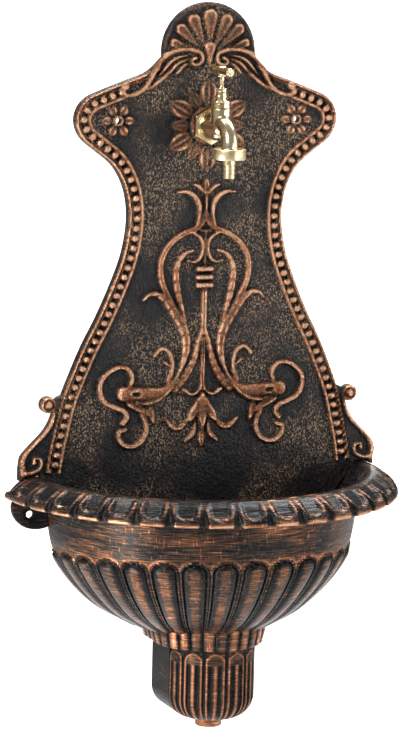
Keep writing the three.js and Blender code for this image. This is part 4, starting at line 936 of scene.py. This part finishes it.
# Finishes
class Nodes:  # a short hand for building one material
    def __init__(self, name):
        self.material = bpy.data.materials.new(name)
        self.material.use_nodes = True
        self.tree = self.material.node_tree
        self.tree.nodes.clear()
        self.shader = self.add("ShaderNodeBsdfPrincipled")
        out = self.add("ShaderNodeOutputMaterial")
        self.tree.links.new(self.shader.outputs[0], out.inputs[0])
        self.place = self.add("ShaderNodeTexCoord").outputs["Object"]

    def add(self, kind, **settings):
        node = self.tree.nodes.new(kind)
        for key, value in settings.items():
            setattr(node, key, value)
        return node

    def join(self, value, socket):
        if isinstance(value, (int, float, tuple, list)):
            socket.default_value = value
        else:
            self.tree.links.new(value, socket)

    def math(self, operation, a, b=0.0, c=0.0):
        node = self.add("ShaderNodeMath", operation=operation)
        for value, socket in zip((a, b, c), node.inputs):
            self.join(value, socket)
        return node.outputs[0]

    def noise(self, scale, detail=3.0, stretch=(1, 1, 1), roughness=0.5):
        turn = self.add("ShaderNodeMapping")
        self.join(self.place, turn.inputs["Vector"])
        turn.inputs["Scale"].default_value = stretch
        node = self.add("ShaderNodeTexNoise")
        self.join(turn.outputs[0], node.inputs["Vector"])
        for key, value in (("Scale", scale), ("Detail", detail), ("Roughness", roughness)):
            node.inputs[key].default_value = value
        return node.outputs[0]

    def ramp(self, value, stops):
        node = self.add("ShaderNodeValToRGB")
        self.join(value, node.inputs[0])
        marks = node.color_ramp.elements
        while len(marks) < len(stops):
            marks.new(0.5)
        for mark, (at, colour) in zip(marks, stops):
            mark.position, mark.color = at, (*colour, 1)
        return node.outputs[0]

    def span(self, value, low, high):  # 0 below low, 1 above high
        node = self.add("ShaderNodeMapRange", interpolation_type="SMOOTHSTEP")
        self.join(value, node.inputs[0])
        node.inputs[1].default_value, node.inputs[2].default_value = low, high
        return node.outputs[0]

    def spread(self, value, amount):  # a noise about zero
        return self.math("MULTIPLY", self.math("SUBTRACT", value, 0.5), amount)

    def mix(self, share, a, b):
        node = self.add("ShaderNodeMix", data_type="RGBA")
        self.join(share, node.inputs[0])
        self.join(a, node.inputs[6])
        self.join(b, node.inputs[7])
        return node.outputs[2]

    def bump(self, height, strength, distance):
        node = self.add("ShaderNodeBump")
        node.inputs["Strength"].default_value = strength
        node.inputs["Distance"].default_value = distance
        self.join(height, node.inputs["Height"])
        self.join(node.outputs[0], self.shader.inputs["Normal"])


# A black lacquered casting with the copper rubbed through on its high places, coloured from a vertex
# value that also holds painted shade and a painted highlight
def rubbedCast(name, look):
    n = Nodes(name)
    # the vertex value mixes rubbed copper wear with painted shade on the plate and a painted highlight
    # on the rim
    copper_tone = n.add("ShaderNodeAttribute", attribute_name="rub_and_painted_light").outputs["Fac"]
    patches = n.noise(look["patchScale"], 3.0, look["patchStretch"])
    grain = n.noise(look["grainScale"], 2.0, look["grainStretch"], 0.6)
    speck = n.noise(look["speckScale"], 1.0, look["speckStretch"], 0.5)
    amount = n.math("ADD", copper_tone, n.spread(grain, look["grainAmount"]))
    amount = n.math("ADD", amount, n.spread(patches, look["patchAmount"]))
    speckle = n.math("MULTIPLY", n.span(speck, 0.56, 0.72), n.span(patches, look["patchLow"], 0.66))
    amount = n.math("ADD", amount, n.math("MULTIPLY", speckle, look["speckAmount"]))
    if look["crossAmount"]:  # upright scratches that cross the brushed ones
        cross = n.math("SUBTRACT", n.noise(700, 1.0, (1.0, 1.0, 0.08), 0.4), 0.62)
        cross = n.math("MULTIPLY", n.math("MAXIMUM", cross, 0.0), 4 * look["crossAmount"])
        amount = n.math("ADD", amount, cross)
    amount = n.math("ADD", amount, look["shift"])
    copper = n.ramp(amount, lacquerToCopper)
    grains, drifts = n.noise(720, 2.0, (1, 1, 0.7)), n.noise(15, 4.0)
    dust = n.math("MULTIPLY", n.span(grains, 0.5, 0.67), n.span(drifts, 0.42, 0.6))
    dust = n.math("MULTIPLY", dust, look["dust"])
    n.join(n.mix(dust, copper, dustColour), n.shader.inputs["Base Color"])
    bare = n.span(amount, 0.2, 0.7)
    n.join(n.math("MULTIPLY_ADD", bare, 0.75, 0.12), n.shader.inputs["Metallic"])
    rough = n.math("MULTIPLY_ADD", grain, 0.22, look["roughness"])
    rough = n.math("MULTIPLY_ADD", bare, look["bareRough"], rough)
    n.join(rough, n.shader.inputs["Roughness"])
    n.shader.inputs["Specular IOR Level"].default_value = 0.3
    n.shader.inputs["IOR"].default_value = look["glance"]
    height = n.math("ADD", n.math("MULTIPLY", grain, look["grainBump"]), n.math("MULTIPLY", speck, 0.8))
    n.bump(height, look["bump"], 0.0016)
    return n.material


lacquerToCopper = [
    (0.0, (0.008, 0.008, 0.009)), (0.2, (0.018, 0.017, 0.018)), (0.4, (0.075, 0.042, 0.026)),
    (0.62, (0.21, 0.082, 0.040)), (0.88, (0.37, 0.155, 0.080)), (1.0, (0.60, 0.35, 0.22)),
]
dustColour = (0.38, 0.25, 0.15, 1)
castLooks = {  # shares and scales of the patches, the brushed grain, the specks and the dust
    "plate": {"patchScale": 26, "patchStretch": (1, 1, 0.5), "grainScale": 330,
              "grainStretch": (1, 1, 0.5), "speckScale": 640, "speckStretch": (1, 1, 0.7),
              "grainAmount": 0.5, "patchAmount": 0.3, "patchLow": 0.34, "speckAmount": 0.4,
              "shift": 0.1, "roughness": 0.24, "bump": 0.9, "grainBump": 1.0, "bareRough": 0.04,
              "crossAmount": 0.0, "dust": 0.8, "glance": 1.45},
    "bowl": {"patchScale": 22, "patchStretch": (1, 1, 2.0), "grainScale": 420,
             "grainStretch": (0.14, 0.14, 2.0), "speckScale": 600, "speckStretch": (0.09, 0.09, 2.2),
             "grainAmount": 1.35, "patchAmount": 0.7, "patchLow": 0.3, "speckAmount": 0.45,
             "shift": 0.06, "roughness": 0.17, "bump": 0.3, "grainBump": 0.5, "bareRough": 0.16,
             "crossAmount": 0.8, "dust": 0.14, "glance": 1.27},
    "cover": {"patchScale": 30, "patchStretch": (1, 1, 2.0), "grainScale": 420,
              "grainStretch": (0.2, 0.2, 2.0), "speckScale": 520, "speckStretch": (0.12, 0.12, 2.4),
              "grainAmount": 1.1, "patchAmount": 0.5, "patchLow": 0.35, "speckAmount": 0.4,
              "shift": 0.06, "roughness": 0.28, "bump": 0.25, "grainBump": 0.5, "bareRough": 0.14,
              "crossAmount": 0.3, "dust": 0.14, "glance": 1.2},
}


def yellowBrass(name, look):
    n = Nodes(name)
    patches = n.noise(90)
    grain = n.noise(1500, 2.0, look["stretch"])
    colour = n.mix(n.span(patches, 0.35, 0.7), look["light"], look["deep"])
    n.join(colour, n.shader.inputs["Base Color"])
    n.shader.inputs["Metallic"].default_value = 1.0
    n.join(n.math("MULTIPLY_ADD", grain, 0.16, look["roughness"]), n.shader.inputs["Roughness"])
    n.bump(n.math("ADD", grain, n.math("MULTIPLY", patches, 1.5)), look["bump"], 0.0002)
    return n.material


brassLooks = {
    "polished": {"light": (0.82, 0.70, 0.46, 1), "deep": (0.60, 0.47, 0.25, 1),
                 "roughness": 0.16, "bump": 0.12, "stretch": (1, 1, 1)},
    "matt": {"light": (0.86, 0.74, 0.50, 1), "deep": (0.66, 0.52, 0.30, 1),
             "roughness": 0.30, "bump": 0.3, "stretch": (1, 1, 0.1)},
}


def dress(piece, material):
    piece.data.materials.clear()
    piece.data.materials.append(material)


plateCast = rubbedCast("rubbed_copper_plate", castLooks["plate"])
bowlCast = rubbedCast("rubbed_copper_bowl", castLooks["bowl"])
coverCast = rubbedCast("rubbed_copper_cover", castLooks["cover"])
polished = yellowBrass("polished_brass", brassLooks["polished"])
matt = yellowBrass("matt_brass", brassLooks["matt"])

dress(makeBackPlate(), plateCast)
print("back plate made")
dress(makeBasin(), bowlCast)
dress(makeCollar(), bowlCast)
for side in (1, -1):
    dress(makeEar(side), bowlCast)
print("basin made")
dress(makeCover(), coverCast)
print("drain cover made")
for piece in makeTap():
    dress(piece, matt if "nut_turned" in piece.name or "hose" in piece.name else polished)
print("tap made")


# Floor, white card, lights and camera, in metres
stage = {
    "floorSize": (24, 24), "floor": (0, 0, -1.65), "cardSize": (1.8, 2.4), "card": (1.28, 3.2, -0.44),
    "camera": (-1.1814, -2.9779, 0.4503), "aim": (0.000475, 0.0, -0.0523), "lens": 164.25,
    "roll": 0.023358, "world": 0.25,
    "lights": [  # name, place, aim, size, watts
        ("key", (-2.0, -1.5, 1.5), (0, -0.05, 0), (0.8, 1.2), 62),
        ("fill", (2.5, -1.1, 0.5), (0, -0.05, -0.05), (1.3, 2.0), 24),
        ("sheen", (1.68, -2.5, -0.35), (0, 0, -0.05), (0.9, 1.5), 26),
        ("low", (-1.75, -0.4, -0.98), (-0.1, -0.1, -0.2), (0.7, 0.75), 34),
        ("behind", (0.9, 0.9, 2.4), (1.1, 2.9, -0.6), (3.2, 1.2), 350),
    ],
}


def makeStage():
    n = Nodes("pale_floor")
    soft = n.noise(3, 2.0)
    pale = n.mix(n.span(soft, 0.3, 0.7), (0.90, 0.90, 0.90, 1), (0.86, 0.86, 0.86, 1))
    n.join(pale, n.shader.inputs["Base Color"])
    n.shader.inputs["Roughness"].default_value = 0.9
    n.bump(soft, 0.02, 0.001)
    sheets = (("floor", stage["floorSize"], 0), ("card", stage["cardSize"], math.pi / 2))
    for name, size, turn in sheets:
        bm = bmesh.new()
        bmesh.ops.create_grid(bm, x_segments=4, y_segments=4, size=0.5)
        bmesh.ops.scale(bm, verts=bm.verts, vec=(size[0], size[1], 1))
        bmesh.ops.rotate(bm, verts=bm.verts, cent=(0, 0, 0), matrix=Matrix.Rotation(turn, 3, "X"))
        bmesh.ops.translate(bm, verts=bm.verts, vec=stage[name])
        mesh = bpy.data.meshes.new(name)
        bm.to_mesh(mesh)
        bm.free()
        sheet = bpy.data.objects.new(name, mesh)
        bpy.context.scene.collection.objects.link(sheet)
        mesh.materials.append(n.material)


def areaLight(name, place, aim, size, power):
    light = bpy.data.lights.new(name, "AREA")
    light.shape, light.size, light.size_y = "RECTANGLE", size[0], size[1]
    light.energy = power
    holder = bpy.data.objects.new(name, light)
    bpy.context.scene.collection.objects.link(holder)
    holder.location = place
    holder.rotation_euler = (Vector(aim) - Vector(place)).to_track_quat("-Z", "Y").to_euler()


makeStage()
world = bpy.data.worlds.new("studio")
world.use_nodes = True
background = world.node_tree.nodes["Background"]
background.inputs[0].default_value, background.inputs[1].default_value = (1, 1, 1, 1), stage["world"]
bpy.context.scene.world = world
for row in stage["lights"]:
    areaLight(*row)
bpy.context.scene.view_settings.view_transform = "Standard"

camera = bpy.data.objects.new("camera", bpy.data.cameras.new("camera"))
bpy.context.scene.collection.objects.link(camera)
camera.data.lens = stage["lens"]
camera.data.sensor_width = 36.0
camera.data.sensor_fit = "AUTO"
camera.data.clip_end = 100
camera.location = stage["camera"]
look = (Vector(stage["aim"]) - Vector(stage["camera"])).to_track_quat("-Z", "Y").to_matrix()
camera.rotation_euler = (look @ Matrix.Rotation(stage["roll"], 3, "Z")).to_euler()
bpy.context.scene.camera = camera
print("stage set")
